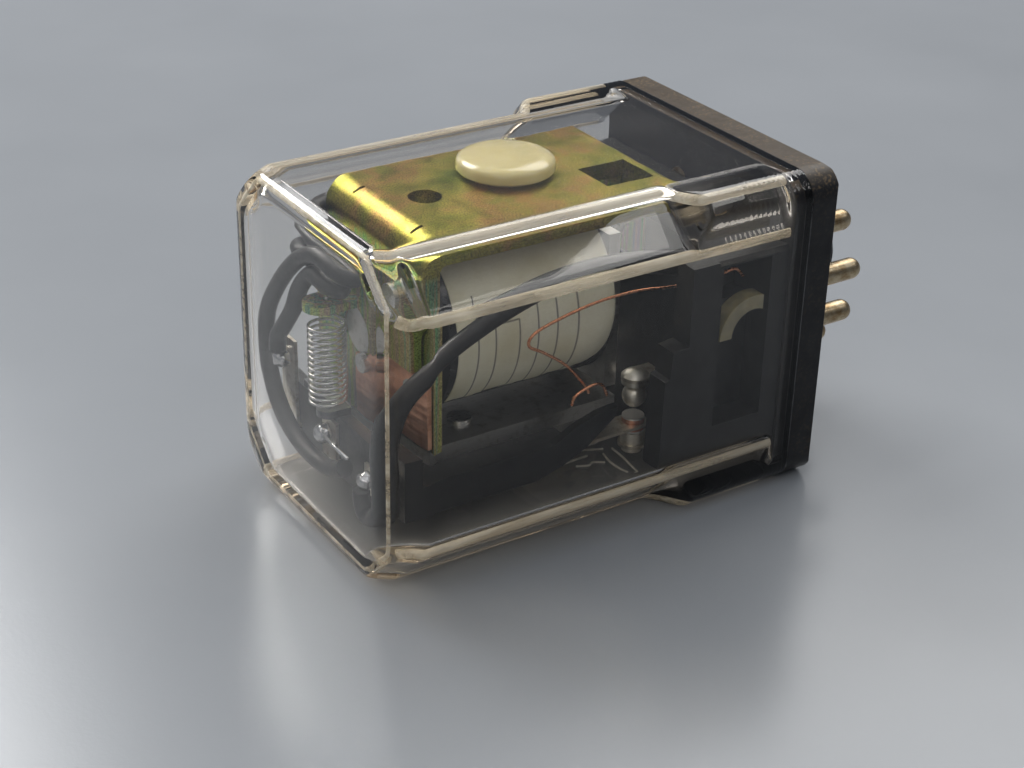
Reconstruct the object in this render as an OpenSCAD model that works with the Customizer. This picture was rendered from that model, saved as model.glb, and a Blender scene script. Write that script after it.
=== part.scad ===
// Plug-in relay with three changeover contacts, lying on its side.
// Millimetres. X runs from the cover's closed end to the pins, Z is up.
// Sizes along X are measured from the outer face of the base plate,
// and placed() then brings the middle of the whole relay over the origin.

/* [Cover] */
// Width and height of the square body
body_w = 35; // [35:0.1:35.6]
// Length of the cover and base plate together
body_l = 50.8; // [50.6:0.1:53]
// Thickness of the cover's wall
wall = 1.8; // [1.6:0.05:1.85]
// Leg of the wide chamfers along the cover
chamfer = 5.2; // [4.8:0.1:5.3]
// Radius of the closed end's two upright edges
end_r = 3.9; // [3:0.1:4.2]
// Distance from the plate's outer face at which the corners fill out
rim_l = 15.5; // [14.5:0.1:17]

/* [Base and pins] */
// Thickness of the base plate
plate_t = 3.4; // [3:0.1:3.6]
// Diameter of the circle that the pins stand on
pin_circle_d = 19.05; // [19.05]
// Pin diameter
pin_d = 2.36; // [2.2:0.02:2.4]
// Length of the pins outside the plate
pin_l = 11.4; // [10:0.1:12]
// Diameter of the keyed post
post_d = 8; // [7.6:0.1:8.2]
// Length of the keyed post
post_l = 13.5; // [12:0.1:14]

/* [Magnet] */
// Height of the yoke's upper face
yoke_top = 31; // [30.8:0.05:31]
// Thickness of the yoke
yoke_t = 1.8; // [1.6:0.05:1.85]
// Width of the yoke
yoke_w = 19; // [17:0.1:19.2]
// Diameter over the coil's label
coil_d = 18.2; // [17.4:0.1:18.3]
// Height of the armature's upper face at rest
armature_top = 9.6; // [9.4:0.05:9.65]

/* [Contacts] */
// Distance from pole to pole
pitch = 8.8; // [8.4:0.1:8.9]
// Width of the contact blades
blade_w = 3; // [2.6:0.1:3.2]
// Travel of the moving contacts
contact_gap = 1.1; // [1.05:0.01:1.2]

/* [Return spring] */
// Outer diameter of the spring
spring_d = 4; // [3.4:0.1:4.2]
// Wire of the spring
spring_wire = 0.36; // [0.3:0.01:0.36]
// Number of turns
spring_turns = 11; // [8:1:11]

/* [Hidden] */
$fn = 48;
gap = 0.02;
mid_z = body_w / 2;
frame_shift = (body_l - post_l) / 2;
pin_count = 11;
pin_root_r = pin_d / 2 + 0.3;
plate_corner_r = 3;
spigot_l = 1.2;

// The mechanism sits off the middle of the cover, towards +Y.
line_y = 2.6;
coil_z = 19.7;
coil_r = coil_d / 2;
yoke_under = yoke_top - yoke_t;
yoke_front_x = -42;
yoke_back_x = -11.4;
leg_bottom = 9.8;
foot_half = 5.5;
foot_bottom = 22;
screw_z = 25;
screw_end_x = -8.6;
stud_x = -25.3;
stud_y = 4.7;
bend_r = 2.6;
back_r = 0.9;
winding_front_x = -38.9;
flange_t = 1;
flange_x = -20.6;
pole_x = -19.6;
pole_t = 1.4;
pole_foot_z = 10.8;

armature_t = 1.6;
armature_w = 16.4;
armature_back_x = -18.3;
carrier_front_x = -45.4;
carrier_bottom = 4.4;

contact_x = -16.2;
blade_z = 6;
blade_t = 0.35;
fixed_t = 0.4;
head_t = 0.7;
lower_top = blade_z - head_t - 0.05;
upper_bottom = blade_z + blade_t + head_t + contact_gap + 0.02;
pole_ys = [line_y - pitch, line_y, line_y + pitch];
tag_tops = [9.2, 10.6, 16];
upper_blade_z = upper_bottom + 3.2;

block_face_x = -13.4;
block_back_x = -plate_t - spigot_l;
block_half = 15.2;
block_bottom = 2.4;
block_top = 27.4;
pocket_back_x = -6.8;

front_x = -46;
spring_bottom = 12;
spring_top = 21.4;
lug_z = 23.1;
arm_z = 11.15;

black_plastic = [0.06, 0.06, 0.07];
ivory = [0.9, 0.88, 0.75];
yellow_steel = [0.72, 0.68, 0.3];
silver = [0.82, 0.82, 0.8];
copper = [0.75, 0.4, 0.25];

module placed() {
    translate([frame_shift, 0, 0]) children();
}

// A box from its lowest to its highest corner.
module block(low, high) {
    translate(low) cube(high - low);
}

// A round bar along X from x0 to x1.
module bar_x(x0, x1, r) {
    translate([x0, 0, 0]) rotate([0, 90, 0]) cylinder(h = x1 - x0, r = r);
}

// A round bar along Z from z0 to z1.
module bar_z(z0, z1, r) {
    translate([0, 0, z0]) cylinder(h = z1 - z0, r = r);
}

// A flat outline in X and Z, given as [x, z] points, with its thickness from y0 to y1.
module side_plate(points, y0, y1) {
    translate([0, y1, 0]) rotate([90, 0, 0]) linear_extrude(y1 - y0) polygon(points);
}

module rounded_square(half, r) {
    square([2 * half, 2 * (half - r)], center = true);
    square([2 * (half - r), 2 * half], center = true);
    for (a = [-1, 1])
        for (b = [-1, 1])
            translate([a * (half - r), b * (half - r)]) circle(r);
}

// The prism along X with rounded corners that the base and the cover's rim share.
module square_prism(x0, x1, half, r) {
    translate([x0, 0, mid_z]) rotate([90, 0, 90]) linear_extrude(x1 - x0) rounded_square(half, r);
}

// The cover's long part: a chamfered section, cut to the plan and to the side outline.
module chamfered_part(inset, x1) {
    half = body_w / 2 - inset;
    leg = chamfer - inset * (2 - sqrt(2));
    end_x = -body_l + inset;
    r = end_r - inset;
    edge = max(0.3, 1 - 0.6 * inset);
    section = [
        [half, half - leg], [half - leg, half], [leg - half, half], [-half, half - leg],
        [-half, leg - half], [leg - half, -half], [half - leg, -half], [half, leg - half]
    ];
    outline = [
        [end_x, mid_z - half + edge], [end_x + edge, mid_z - half], [x1, mid_z - half],
        [x1, mid_z + half], [end_x + edge, mid_z + half], [end_x, mid_z + half - edge]
    ];
    intersection() {
        translate([end_x, 0, mid_z]) rotate([90, 0, 90]) linear_extrude(x1 - end_x) polygon(section);
        translate([0, 0, mid_z - half]) linear_extrude(2 * half) union() {
            translate([end_x + r, -half]) square([x1 - end_x - r, 2 * half]);
            translate([end_x, r - half]) square([x1 - end_x, 2 * (half - r)]);
            for (side = [-1, 1])
                translate([end_x + r, side * (half - r)]) circle(r);
        }
        side_plate(outline, -half, half);
    }
}

// The cover's corners fill out over a cone shaped step, up to the base plate.
module rim_part(inset, x1) {
    half = body_w / 2 - inset;
    leg = chamfer - inset * (2 - sqrt(2));
    r = plate_corner_r - inset;
    step_x = -rim_l + 0.4 * inset;
    low_r = half * sqrt(2) - leg / sqrt(2) - 0.1;
    high_r = half * sqrt(2) - r * (sqrt(2) - 1) + 0.1;
    rise = high_r - low_r;
    intersection() {
        square_prism(step_x - rise, x1, half, r);
        translate([0, 0, mid_z]) union() {
            translate([step_x - rise, 0, 0]) rotate([0, 90, 0]) cylinder(h = rise, r1 = low_r, r2 = high_r);
            bar_x(step_x - 0.01, x1, high_r);
        }
    }
}

module cover() {
    color([0.9, 0.92, 0.95, 0.3]) placed() difference() {
        union() {
            chamfered_part(0, -plate_t);
            rim_part(0, -plate_t);
        }
        chamfered_part(wall, 1 - plate_t);
        rim_part(wall, 1 - plate_t);
    }
}

module at_pin(k) {
    angle = 90 + 180 / pin_count + k * 360 / pin_count;
    translate([0, pin_circle_d / 2 * cos(angle), mid_z + pin_circle_d / 2 * sin(angle)]) children();
}

module base_plate() {
    edge = 0.35;
    half = body_w / 2;
    profile = [
        [-plate_t, -half], [-edge, -half], [0, edge - half],
        [0, half - edge], [-edge, half], [-plate_t, half]
    ];
    color(black_plastic) placed() difference() {
        union() {
            intersection() {
                square_prism(-plate_t, 0, half, plate_corner_r);
                translate([0, 0, mid_z]) side_plate(profile, -half, half);
                linear_extrude(body_w) polygon(profile);
            }
            square_prism(-plate_t - spigot_l, -plate_t, half - wall - 0.1, plate_corner_r - wall);
            translate([0, 0, mid_z]) {
                bar_x(0, post_l - 0.8, post_d / 2);
                translate([post_l - 0.8, 0, 0]) rotate([0, 90, 0]) {
                    cylinder(h = 0.8, r1 = post_d / 2, r2 = post_d / 2 - 0.8);
                }
                block([0, -0.9, 0], [post_l - 1.4, 0.9, post_d / 2 + 1.2]);
            }
        }
        for (k = [0 : pin_count - 1])
            at_pin(k) bar_x(-plate_t - 2 * spigot_l, 1, pin_root_r + gap);
    }
}

// Each pin has a thicker collar that the plate holds.
module contact_pins() {
    color(silver) placed() for (k = [0 : pin_count - 1])
        at_pin(k) union() {
            bar_x(-plate_t - spigot_l + 0.1, -gap, pin_root_r);
            bar_x(-0.1, pin_l - pin_d / 2, pin_d / 2);
            translate([pin_l - pin_d / 2, 0, 0]) sphere(pin_d / 2);
        }
}

// One wing in front of the block, its front edge stepped as [x, z] points.
module wing(low_y, high_y, top_z) {
    steps = top_z > 22
        ? [[-18.7, 15.9], [-18.5, 18.8], [-16.6, 19], [-16.6, top_z]]
        : [[-18.7, 15.9], [-18.5, top_z]];
    outline = concat([[block_face_x, 5.6], [-19.5, 5.6], [-19.3, 15.7]], steps, [[block_face_x, top_z]]);
    side_plate(outline, low_y, high_y);
}

module side_pocket() {
    block([block_face_x + 0.5, -block_half - 1, 9], [pocket_back_x, -12, 26.8]);
    block([block_face_x - 1, -12.6, 21.5], [pocket_back_x, -9.6, 26.8]);
}

module contact_block() {
    bevel = 3.2;
    edge = 0.4;
    section = [
        [block_half, block_bottom + bevel], [block_half - bevel, block_bottom],
        [bevel - block_half, block_bottom], [-block_half, block_bottom + bevel],
        [-block_half, block_top - edge], [edge - block_half, block_top],
        [block_half - edge, block_top], [block_half, block_top - edge]
    ];
    color(black_plastic) placed() difference() {
        union() {
            translate([block_face_x, 0, 0]) rotate([90, 0, 90]) {
                linear_extrude(block_back_x - block_face_x) polygon(section);
            }
            wing(-block_half, -12.6, block_top);
            wing(13.1, block_half, 20.6);
        }
        side_pocket();
        mirror([0, 1, 0]) side_pocket();
        block([block_face_x - 1, 12, 21.5], [pocket_back_x, block_half + 1, 26.8]);
        // Seat for the yoke's foot, and the hole for its screw
        block([block_face_x - 1, line_y - foot_half - 0.1, foot_bottom - 0.1],
              [yoke_back_x + gap, line_y + foot_half + 0.1, block_top + 1]);
        translate([0, line_y, screw_z]) bar_x(block_face_x - 1, screw_end_x + 0.1, 1 + gap);
        // Slots for the fixed blades
        for (y = pole_ys)
            for (z = [lower_top - 1.75, upper_blade_z])
                block([block_face_x - 1, y - blade_w / 2 - gap, z - gap],
                      [-11.3, y + blade_w / 2 + gap, z + fixed_t + gap]);
    }
}

// The leg's round bend, over the whole width of the yoke.
module front_bend(half) {
    centre_x = yoke_front_x + bend_r;
    intersection() {
        translate([centre_x, -half, yoke_top - bend_r]) rotate([-90, 0, 0]) difference() {
            cylinder(h = 2 * half, r = bend_r);
            translate([0, 0, -1]) cylinder(h = 2 * half + 2, r = bend_r - yoke_t);
        }
        block([yoke_front_x - 1, -half, yoke_top - bend_r], [centre_x, half, yoke_top + 1]);
    }
}

module yoke() {
    half = yoke_w / 2;
    foot_x = yoke_back_x - yoke_t;
    color(yellow_steel) placed() translate([0, line_y, 0]) difference() {
        union() {
            block([yoke_front_x + bend_r, -half, yoke_under], [yoke_back_x - back_r, half, yoke_top]);
            block([yoke_front_x, -half, leg_bottom], [yoke_front_x + yoke_t, half, yoke_top - bend_r]);
            front_bend(half);
            block([foot_x, -half, yoke_under], [yoke_back_x, half, yoke_top - back_r]);
            translate([yoke_back_x - back_r, -half, yoke_top - back_r]) rotate([-90, 0, 0]) {
                cylinder(h = 2 * half, r = back_r);
            }
            block([foot_x, -foot_half, foot_bottom], [yoke_back_x, foot_half, yoke_under + 0.1]);
        }
        // Nicks at the two ends of the bend line
        for (side = [-1, 1])
            block([yoke_front_x + 1.1, side * 5.7 - 0.2, yoke_top - 0.9],
                  [yoke_front_x + 2.4, side * 5.7 + 0.2, yoke_top + 1]);
        block([-18.6, -6.4, yoke_under - 1], [-12.9, -1.1, yoke_top + 1]);
        translate([-35.8, 0.4, 0]) bar_z(yoke_under - 1, yoke_top + 1, 1.7);
        translate([stud_x, stud_y - line_y, 0]) bar_z(yoke_under - 1, yoke_top + 1, 2 + gap);
        translate([0, 0, screw_z]) bar_x(yoke_back_x - 3, yoke_back_x + 1, 1 + gap);
        translate([0, 0, coil_z]) bar_x(yoke_front_x - 1, yoke_front_x + 3, 2.5 + gap);
        for (y = [-5.8, 5.8])
            translate([0, y, 25.4]) bar_x(yoke_front_x - 1, yoke_front_x + 3, 0.8 + gap);
        for (y = [-7.2, -1.2])
            translate([0, y, 16.6]) bar_x(yoke_front_x - 1, yoke_front_x + 3, 0.6 + gap);
    }
}

module stud_button() {
    head_r = 5.1;
    crown = 0.7;
    ball_r = (head_r * head_r + crown * crown) / (2 * crown);
    edge_z = yoke_top + 1.2;
    color(ivory) placed() translate([stud_x, stud_y, 0]) union() {
        bar_z(yoke_under + 0.06, yoke_top + 1, 2);
        bar_z(yoke_top, edge_z, head_r);
        intersection() {
            translate([0, 0, edge_z + crown - ball_r]) sphere(ball_r);
            bar_z(edge_z - 0.1, edge_z + crown + 1, head_r);
        }
        translate([0.4, 0.6, 0]) bar_z(edge_z, edge_z + crown + 0.2, 0.45);
    }
}

// Holds the yoke's foot to the block, its slotted head towards the coil.
module yoke_screw() {
    head_x = yoke_back_x - yoke_t;
    color(silver) placed() translate([0, line_y, screw_z]) difference() {
        union() {
            bar_x(head_x - 0.1, screw_end_x, 1);
            bar_x(head_x - 1.1, head_x, 1.9);
        }
        block([head_x - 2, -2.2, -0.25], [head_x - 0.6, 2.2, 0.25]);
    }
}

module core() {
    color([0.6, 0.6, 0.62]) placed() translate([0, line_y, coil_z]) union() {
        bar_x(yoke_front_x + yoke_t + 0.03, pole_x - 0.03, 4);
        bar_x(yoke_front_x - 0.4, pole_x + pole_t, 2.5);
        bar_x(pole_x + pole_t + 0.03, pole_x + pole_t + 0.5, 3.3);
        bar_x(pole_x, pole_x + pole_t + 0.2, 2.5);
    }
}

module pole_piece() {
    outline_w = 16;
    color([0.6, 0.6, 0.62]) placed() difference() {
        block([pole_x, line_y - outline_w / 2, pole_foot_z], [pole_x + pole_t, line_y + outline_w / 2, 27.4]);
        translate([0, line_y, coil_z]) bar_x(pole_x - 1, pole_x + 3, 2.5 + gap);
    }
}

module bobbin() {
    color(black_plastic) placed() translate([0, line_y, coil_z]) difference() {
        union() {
            bar_x(winding_front_x - flange_t, flange_x + flange_t - 0.05, 4.9);
            bar_x(winding_front_x - flange_t, winding_front_x, coil_r);
            bar_x(flange_x, flange_x + flange_t - 0.05, coil_r);
        }
        bar_x(winding_front_x - 3, flange_x + 3, 4.04);
    }
}

// A sleeve along the coil's axis.
module coil_sleeve(x0, x1, r_in, r_out) {
    translate([0, line_y, coil_z]) difference() {
        bar_x(x0, x1, r_out);
        bar_x(x0 - 1, x1 + 1, r_in);
    }
}

module coil_winding() {
    color(copper) placed() coil_sleeve(winding_front_x + 0.04, flange_x - 0.04, 4.94, coil_r - 0.45);
}

module coil_tape() {
    color(black_plastic) placed() {
        coil_sleeve(winding_front_x + 0.1, flange_x - 0.1, coil_r - 0.4, coil_r - 0.2);
    }
}

module coil_label() {
    color([0.93, 0.91, 0.8]) placed() intersection() {
        coil_sleeve(-38, -20.9, coil_r - 0.16, coil_r);
        union() {
            block([-39, line_y - 12, 13.2], [-20, line_y, coil_z + 6]);
            block([-39, line_y - 12, coil_z + 5], [-20, line_y + 5, coil_z + 10]);
        }
    }
}

module spring_bracket() {
    t = 0.8;
    face_x = yoke_front_x - 0.1;
    color(yellow_steel) placed() difference() {
        union() {
            block([face_x - t, line_y - 7.4, 18.4], [face_x, line_y + 7.4, 27.2]);
            block([-46.6, line_y - 1.8, lug_z], [face_x - t / 2, line_y + 1.8, lug_z + t]);
            translate([-46.6, line_y, 0]) bar_z(lug_z, lug_z + t, 1.8);
        }
        translate([front_x, line_y, 0]) bar_z(lug_z - 1, lug_z + 2, 0.3);
        translate([0, line_y, coil_z]) bar_x(face_x - 2, face_x + 1, 2.8);
        for (y = [-5.8, 5.8])
            translate([0, line_y + y, 25.4]) bar_x(face_x - 2, face_x + 1, 0.8 + gap);
    }
}

// A rivet along X through the yoke's leg, with a head on a thin plate in front of it.
module leg_rivet(y, z, plate, r) {
    front = yoke_front_x - 0.1 - plate;
    translate([0, y, z]) union() {
        bar_x(front, yoke_front_x + yoke_t - 0.1, r);
        bar_x(front - 0.5, front, 1.7 * r);
    }
}

module bracket_rivets() {
    color(silver) placed() for (y = [-5.8, 5.8])
        leg_rivet(line_y + y, 25.4, 0.8, 0.8);
}

module hinge_leaf() {
    t = 0.4;
    face_x = yoke_front_x - 0.1;
    color(copper) placed() difference() {
        block([face_x - t, line_y - 9, 10.4], [face_x, line_y + 0.6, 18]);
        translate([0, line_y, coil_z]) bar_x(face_x - 2, face_x + 1, 2.8);
        for (y = [-7.2, -1.2])
            translate([0, line_y + y, 16.6]) bar_x(face_x - 2, face_x + 1, 0.6 + gap);
    }
}

module leaf_rivets() {
    color(silver) placed() for (y = [-7.2, -1.2])
        leg_rivet(line_y + y, 16.6, 0.4, 0.6);
}

// Faces of a tube whose rings have `sides` points each.
function tube_faces(rings, sides) = concat(
    [for (i = [1 : sides - 2]) [0, i, i + 1]],
    [for (i = [1 : sides - 2])
        [(rings - 1) * sides, (rings - 1) * sides + i + 1, (rings - 1) * sides + i]],
    [for (k = [0 : rings - 2]) for (i = [0 : sides - 1])
        [k * sides + i, (k + 1) * sides + i, k * sides + (i + 1) % sides]],
    [for (k = [0 : rings - 2]) for (i = [0 : sides - 1])
        [k * sides + (i + 1) % sides, (k + 1) * sides + i, (k + 1) * sides + (i + 1) % sides]]
);

function unit(v) = v / norm(v);

// Direction of a route at its point i.
function heading(p, i) = unit(p[min(i + 1, len(p) - 1)] - p[max(i - 1, 0)]);

// A smooth route through hand chosen points, with `parts` steps between two of them.
function point_between(a, b, c, d, t) =
    b + (c - a) * t / 2 + (2 * a - 5 * b + 4 * c - d) * t * t / 2
    + (3 * b - a - 3 * c + d) * t * t * t / 2;

function smooth_route(p, parts) = concat(
    [for (i = [0 : len(p) - 2]) for (s = [0 : parts - 1])
        point_between(p[max(i - 1, 0)], p[i], p[i + 1], p[min(i + 2, len(p) - 1)], s / parts)],
    [p[len(p) - 1]]
);

// Sideways directions along a route, each turned from the last as little as possible.
function carried(side, head) = unit(side - (side * head) * head);

function side_list(p, first, i = 0) = i == len(p) ? [] : concat(
    [carried(first, heading(p, i))],
    side_list(p, carried(first, heading(p, i)), i + 1)
);

function tube_points(p, sides_at, r, sides) = [
    for (k = [0 : len(p) - 1])
        let (u = sides_at[k], v = cross(heading(p, k), u))
        for (i = [0 : sides - 1])
            p[k] + r * (u * cos(360 * i / sides) + v * sin(360 * i / sides))
];

module tube(route, r, sides, first) {
    polyhedron(
        points = tube_points(route, side_list(route, first), r, sides),
        faces = tube_faces(len(route), sides)
    );
}

// Return spring: turns of wire round a vertical axis, with a straight end above and below.
spring_r = (spring_d - spring_wire) / 2;
coil_low = spring_bottom + 0.6;
coil_high = spring_top;
spring_pitch = (coil_high - coil_low) / spring_turns;
rings_per_turn = 8;
spring_coil = [
    for (i = [0 : spring_turns * rings_per_turn])
        let (a = 360 * i / rings_per_turn)
        [front_x + spring_r * cos(a), line_y + spring_r * sin(a), coil_low + spring_pitch * i / rings_per_turn]
];
spring_route = concat(
    [[front_x, line_y, spring_bottom - 0.7], [front_x, line_y, spring_bottom + 0.1]],
    [[front_x + spring_r * 0.55, line_y - spring_r * 0.3, spring_bottom + 0.42]],
    spring_coil,
    [[front_x + spring_r * 0.5, line_y + spring_r * 0.35, coil_high + 0.4]],
    [[front_x, line_y, coil_high + 0.9], [front_x, line_y, lug_z + 0.75]]
);

// Least gap from one turn of the spring to the next, measured on its own points.
turn_gaps = [
    for (i = [0 : len(spring_coil) - 1 - rings_per_turn])
        norm(spring_coil[i + rings_per_turn] - spring_coil[i]) - spring_wire
];
echo(least_spring_gap_mm = min(turn_gaps));

module return_spring() {
    color(silver) placed() tube(spring_route, spring_wire / 2, 6, [1, 0, 0]);
}

module armature() {
    low = armature_top - armature_t;
    color([0.6, 0.6, 0.62]) placed() difference() {
        block([yoke_front_x, line_y - armature_w / 2, low], [armature_back_x, line_y + armature_w / 2, armature_top]);
        for (y = [-pitch / 2, pitch / 2])
            translate([-35, line_y + y, 0]) bar_z(low - 1, armature_top + 1, 0.8 + gap);
        translate([armature_back_x - 0.7, line_y, 0]) bar_z(low - 1, armature_top + 1, 0.4 + gap);
    }
}

module residual_stud() {
    color([0.8, 0.65, 0.3]) placed() translate([armature_back_x - 0.7, line_y, 0]) union() {
        bar_z(armature_top - armature_t, armature_top, 0.4);
        bar_z(armature_top, armature_top + 0.15, 0.5);
    }
}

module contact_carrier() {
    low = armature_top - armature_t;
    body = [
        [carrier_front_x, carrier_bottom], [-30, carrier_bottom], [-26, carrier_bottom + 1.2],
        [-26, low], [carrier_front_x + 1.4, low], [carrier_front_x + 1.4, arm_z - 0.05],
        [carrier_front_x, arm_z - 0.05]
    ];
    cheek = [
        [-31, 4.7], [-27, 5.2], [-24, 6.6], [-22.2, 8], [-20.6, 9.2], [-20.2, 10.4],
        [-22.6, 10.2], [-25.4, 9.3], [-28, 8], [-31, 7.6]
    ];
    color(black_plastic) placed() difference() {
        union() {
            side_plate(body, line_y - 11.5, line_y + 11.1);
            side_plate(cheek, line_y - 11.5, line_y - 10.6);
            side_plate(cheek, line_y + 10.6, line_y + 11.5);
        }
        for (y = pole_ys)
            block([carrier_front_x - 1, y - blade_w / 2 - gap, blade_z - gap],
                  [-25, y + blade_w / 2 + gap, blade_z + blade_t + gap]);
        for (y = [-pitch / 2, pitch / 2])
            translate([-35, line_y + y, 0]) bar_z(carrier_bottom - 1, low + 1, 0.8 + gap);
        translate([carrier_front_x + 0.7, line_y + 4.4, 0]) bar_z(9.3, 12, 0.45 + gap);
        translate([front_x, line_y, 0]) bar_z(10, 12, 0.9);
    }
}

module carrier_rivets() {
    color(silver) placed() for (y = [-pitch / 2, pitch / 2])
        translate([-35, line_y + y, 0]) union() {
            bar_z(carrier_bottom - 0.4, carrier_bottom, 1.3);
            bar_z(carrier_bottom - 0.1, armature_top + 0.1, 0.8);
            bar_z(armature_top, armature_top + 0.4, 1.3);
        }
}

module spring_arm() {
    t = 0.8;
    color([0.3, 0.3, 0.32]) placed() difference() {
        union() {
            block([carrier_front_x, line_y - 1.2, arm_z], [carrier_front_x + 1.4, line_y + 6.6, arm_z + t]);
            block([front_x, line_y - 1.2, arm_z], [carrier_front_x + 0.1, line_y + 1.2, arm_z + t]);
            translate([front_x, line_y, 0]) bar_z(arm_z, arm_z + t, 1.2);
            translate([carrier_front_x + 0.7, line_y + 4.4, 0]) bar_z(9.5, arm_z + 0.1, 0.45);
            translate([carrier_front_x + 0.7, line_y + 4.4, 0]) bar_z(arm_z + t, arm_z + t + 0.35, 0.7);
        }
        translate([front_x, line_y, 0]) bar_z(arm_z - 1, arm_z + 2, 0.3);
    }
}

// Contacts of one pole: n counts from 0, nearest first.
module moving_blade(n) {
    y = pole_ys[n];
    half = blade_w / 2;
    color(silver) placed() difference() {
        union() {
            block([carrier_front_x - 0.3, y - half, blade_z], [contact_x, y + half, blade_z + blade_t]);
            block([carrier_front_x - 0.6, y - half, blade_z], [carrier_front_x - 0.25, y + half, tag_tops[n]]);
            translate([contact_x, y, 0]) bar_z(blade_z, blade_z + blade_t, half);
        }
        translate([contact_x, y, 0]) bar_z(blade_z - 1, blade_z + 1, 0.7 + gap);
    }
}

module moving_contact(n) {
    color(copper) placed() translate([contact_x, pole_ys[n], 0]) union() {
        bar_z(blade_z - head_t, blade_z, 1.2);
        bar_z(blade_z - 0.1, blade_z + blade_t + 0.1, 0.7);
        bar_z(blade_z + blade_t, blade_z + blade_t + head_t, 1.2);
    }
}

// A fixed blade held in the block, with its upper face at z.
module fixed_blade(n, z) {
    y = pole_ys[n];
    half = blade_w / 2;
    color(silver) placed() difference() {
        union() {
            block([contact_x, y - half, z - fixed_t], [-11.4, y + half, z]);
            translate([contact_x, y, 0]) bar_z(z - fixed_t, z, half);
        }
        translate([contact_x, y, 0]) bar_z(z - 1, z + 1, 0.7 + gap);
    }
}

module upper_blade(n) {
    fixed_blade(n, upper_blade_z + fixed_t);
}

// A ball faced contact on a neck, riveted into its blade.
module upper_contact(n) {
    ball_r = 1.3;
    above = upper_blade_z + fixed_t;
    color(silver) placed() translate([contact_x, pole_ys[n], 0]) union() {
        intersection() {
            translate([0, 0, upper_bottom + ball_r - 0.1]) sphere(ball_r);
            bar_z(upper_bottom, upper_bottom + 2 * ball_r, ball_r + 1);
        }
        bar_z(upper_bottom + ball_r, above + 0.1, 0.68);
        bar_z(upper_blade_z - 0.5, upper_blade_z, 1.45);
        intersection() {
            translate([0, 0, above - 1.3]) sphere(2);
            bar_z(above, above + 1, 1.5);
        }
    }
}

module lower_blade(n) {
    fixed_blade(n, lower_top - 1.35);
}

module lower_contact(n) {
    color(silver) placed() translate([contact_x, pole_ys[n], 0]) union() {
        bar_z(lower_top - 1.35, lower_top, 1.25);
        bar_z(lower_top - 1.9, lower_top - 1.3, 0.7);
        bar_z(lower_top - 2.35, lower_top - 1.75, 1.1);
    }
}

// Flexible leads, from the block's pockets to the tags, as hand chosen points.
lead_r = 0.88;
near_lead = [
    [-11.6, -11, 25.6], [-15, -11, 25.8], [-20, -11, 27], [-26.4, -11.1, 27.5], [-32.2, -11.1, 26.9],
    [-37.8, -11.1, 25.1], [-43.2, -11.1, 22.4], [-46.6, -11.1, 19.2], [-47.8, -11.1, 15],
    [-47.7, -10.9, 10.9], [-47.3, -10.2, 7.4], [-47.15, -8.7, 5.3], [-47.15, -7, 4.8],
    [-47.15, -6.25, 5.9], [-47.15, -6.2, 7.15]
];
middle_lead = [
    [-11.6, 13.7, 25.7], [-14.5, 13.6, 26], [-18, 13.3, 27.9], [-23, 13.1, 29.2], [-30, 13.1, 29.3],
    [-36, 13.3, 28.6], [-41, 13.4, 27.9], [-43.3, 12, 27.9], [-44.2, 8.5, 27.7], [-44.1, 5, 27.4],
    [-43.9, 2, 27.1], [-44.6, -0.9, 27.2], [-46.1, -0.6, 27.8], [-46.6, 3.4, 28.4], [-46.8, 7.4, 26.2],
    [-47, 11.4, 21.8], [-47.2, 13.5, 17.8], [-47.2, 13.6, 13], [-47.2, 11.7, 9], [-47.2, 8.8, 6.9],
    [-47.2, 5.2, 6], [-47.2, 1.6, 6.1], [-47.2, -1.2, 7], [-47.2, -2.9, 8]
];
far_lead = [
    [-11.6, 13.7, 23.5], [-25, 13.8, 23.8], [-37, 14, 24.2], [-42.8, 13.2, 25], [-44.4, 11.2, 25.5],
    [-44.7, 8.4, 25.7], [-44.6, 5, 25.6], [-44.5, 2.4, 25.4], [-45.3, 0.9, 25.4], [-46.3, 1.9, 25.7],
    [-46.5, 4.4, 26], [-46.6, 6.9, 23.6], [-46.7, 8.3, 20.8], [-46.9, 9.9, 18.4], [-47.1, 11.2, 16.6],
    [-47.15, 11.4, 15.3], [-47.15, 11.4, 14.8]
];

module flexible_lead(points) {
    color([0.13, 0.13, 0.14]) placed() tube(smooth_route(points, 4), lead_r, 8, [0, 0, 1]);
}

// One bead of solder on the front of a tag, under or over the lead's end.
module solder_bead(n, z0, z1) {
    translate([carrier_front_x - 1.2, pole_ys[n], (z0 + z1) / 2]) intersection() {
        sphere(1.25);
        block([-2, -2, (z0 - z1) / 2], [0.57, 2, (z1 - z0) / 2]);
    }
}

// The middle lead runs past its tag, so its bare end turns back to the bead.
module bare_end() {
    translate([-47, -3.2, 9.12]) rotate([-88, 0, 0]) cylinder(h = 5.4, r = 0.22);
}

module solder_joints() {
    color(silver) placed() {
        solder_bead(0, 7.25, 8.9);
        solder_bead(1, 8.25, 10.2);
        solder_bead(2, 13, 14.75);
        bare_end();
    }
}

// Fine copper wires between the coil and the near pocket.
wire_r = 0.16;
upper_wire = [
    [-8.4, -12.8, 24], [-9.6, -13, 25.1], [-10.8, -12.4, 24.6], [-12.6, -11.2, 23.6], [-15.3, -10, 23.2],
    [-19.5, -9.4, 23.4], [-23.9, -9, 23], [-28, -9, 22.3], [-30.9, -9, 21.4], [-31.5, -9, 20.2],
    [-29.7, -9, 19], [-27, -9, 16.9], [-24.7, -9, 14.1], [-24.2, -9.1, 13.1]
];
lower_wire = [
    [-26.4, -9.4, 12.4], [-26.2, -9.5, 13.3], [-25.3, -9.6, 13.9], [-23.9, -9.6, 14.2],
    [-22.8, -9.5, 13.8], [-22.1, -9.4, 12.4]
];

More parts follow.
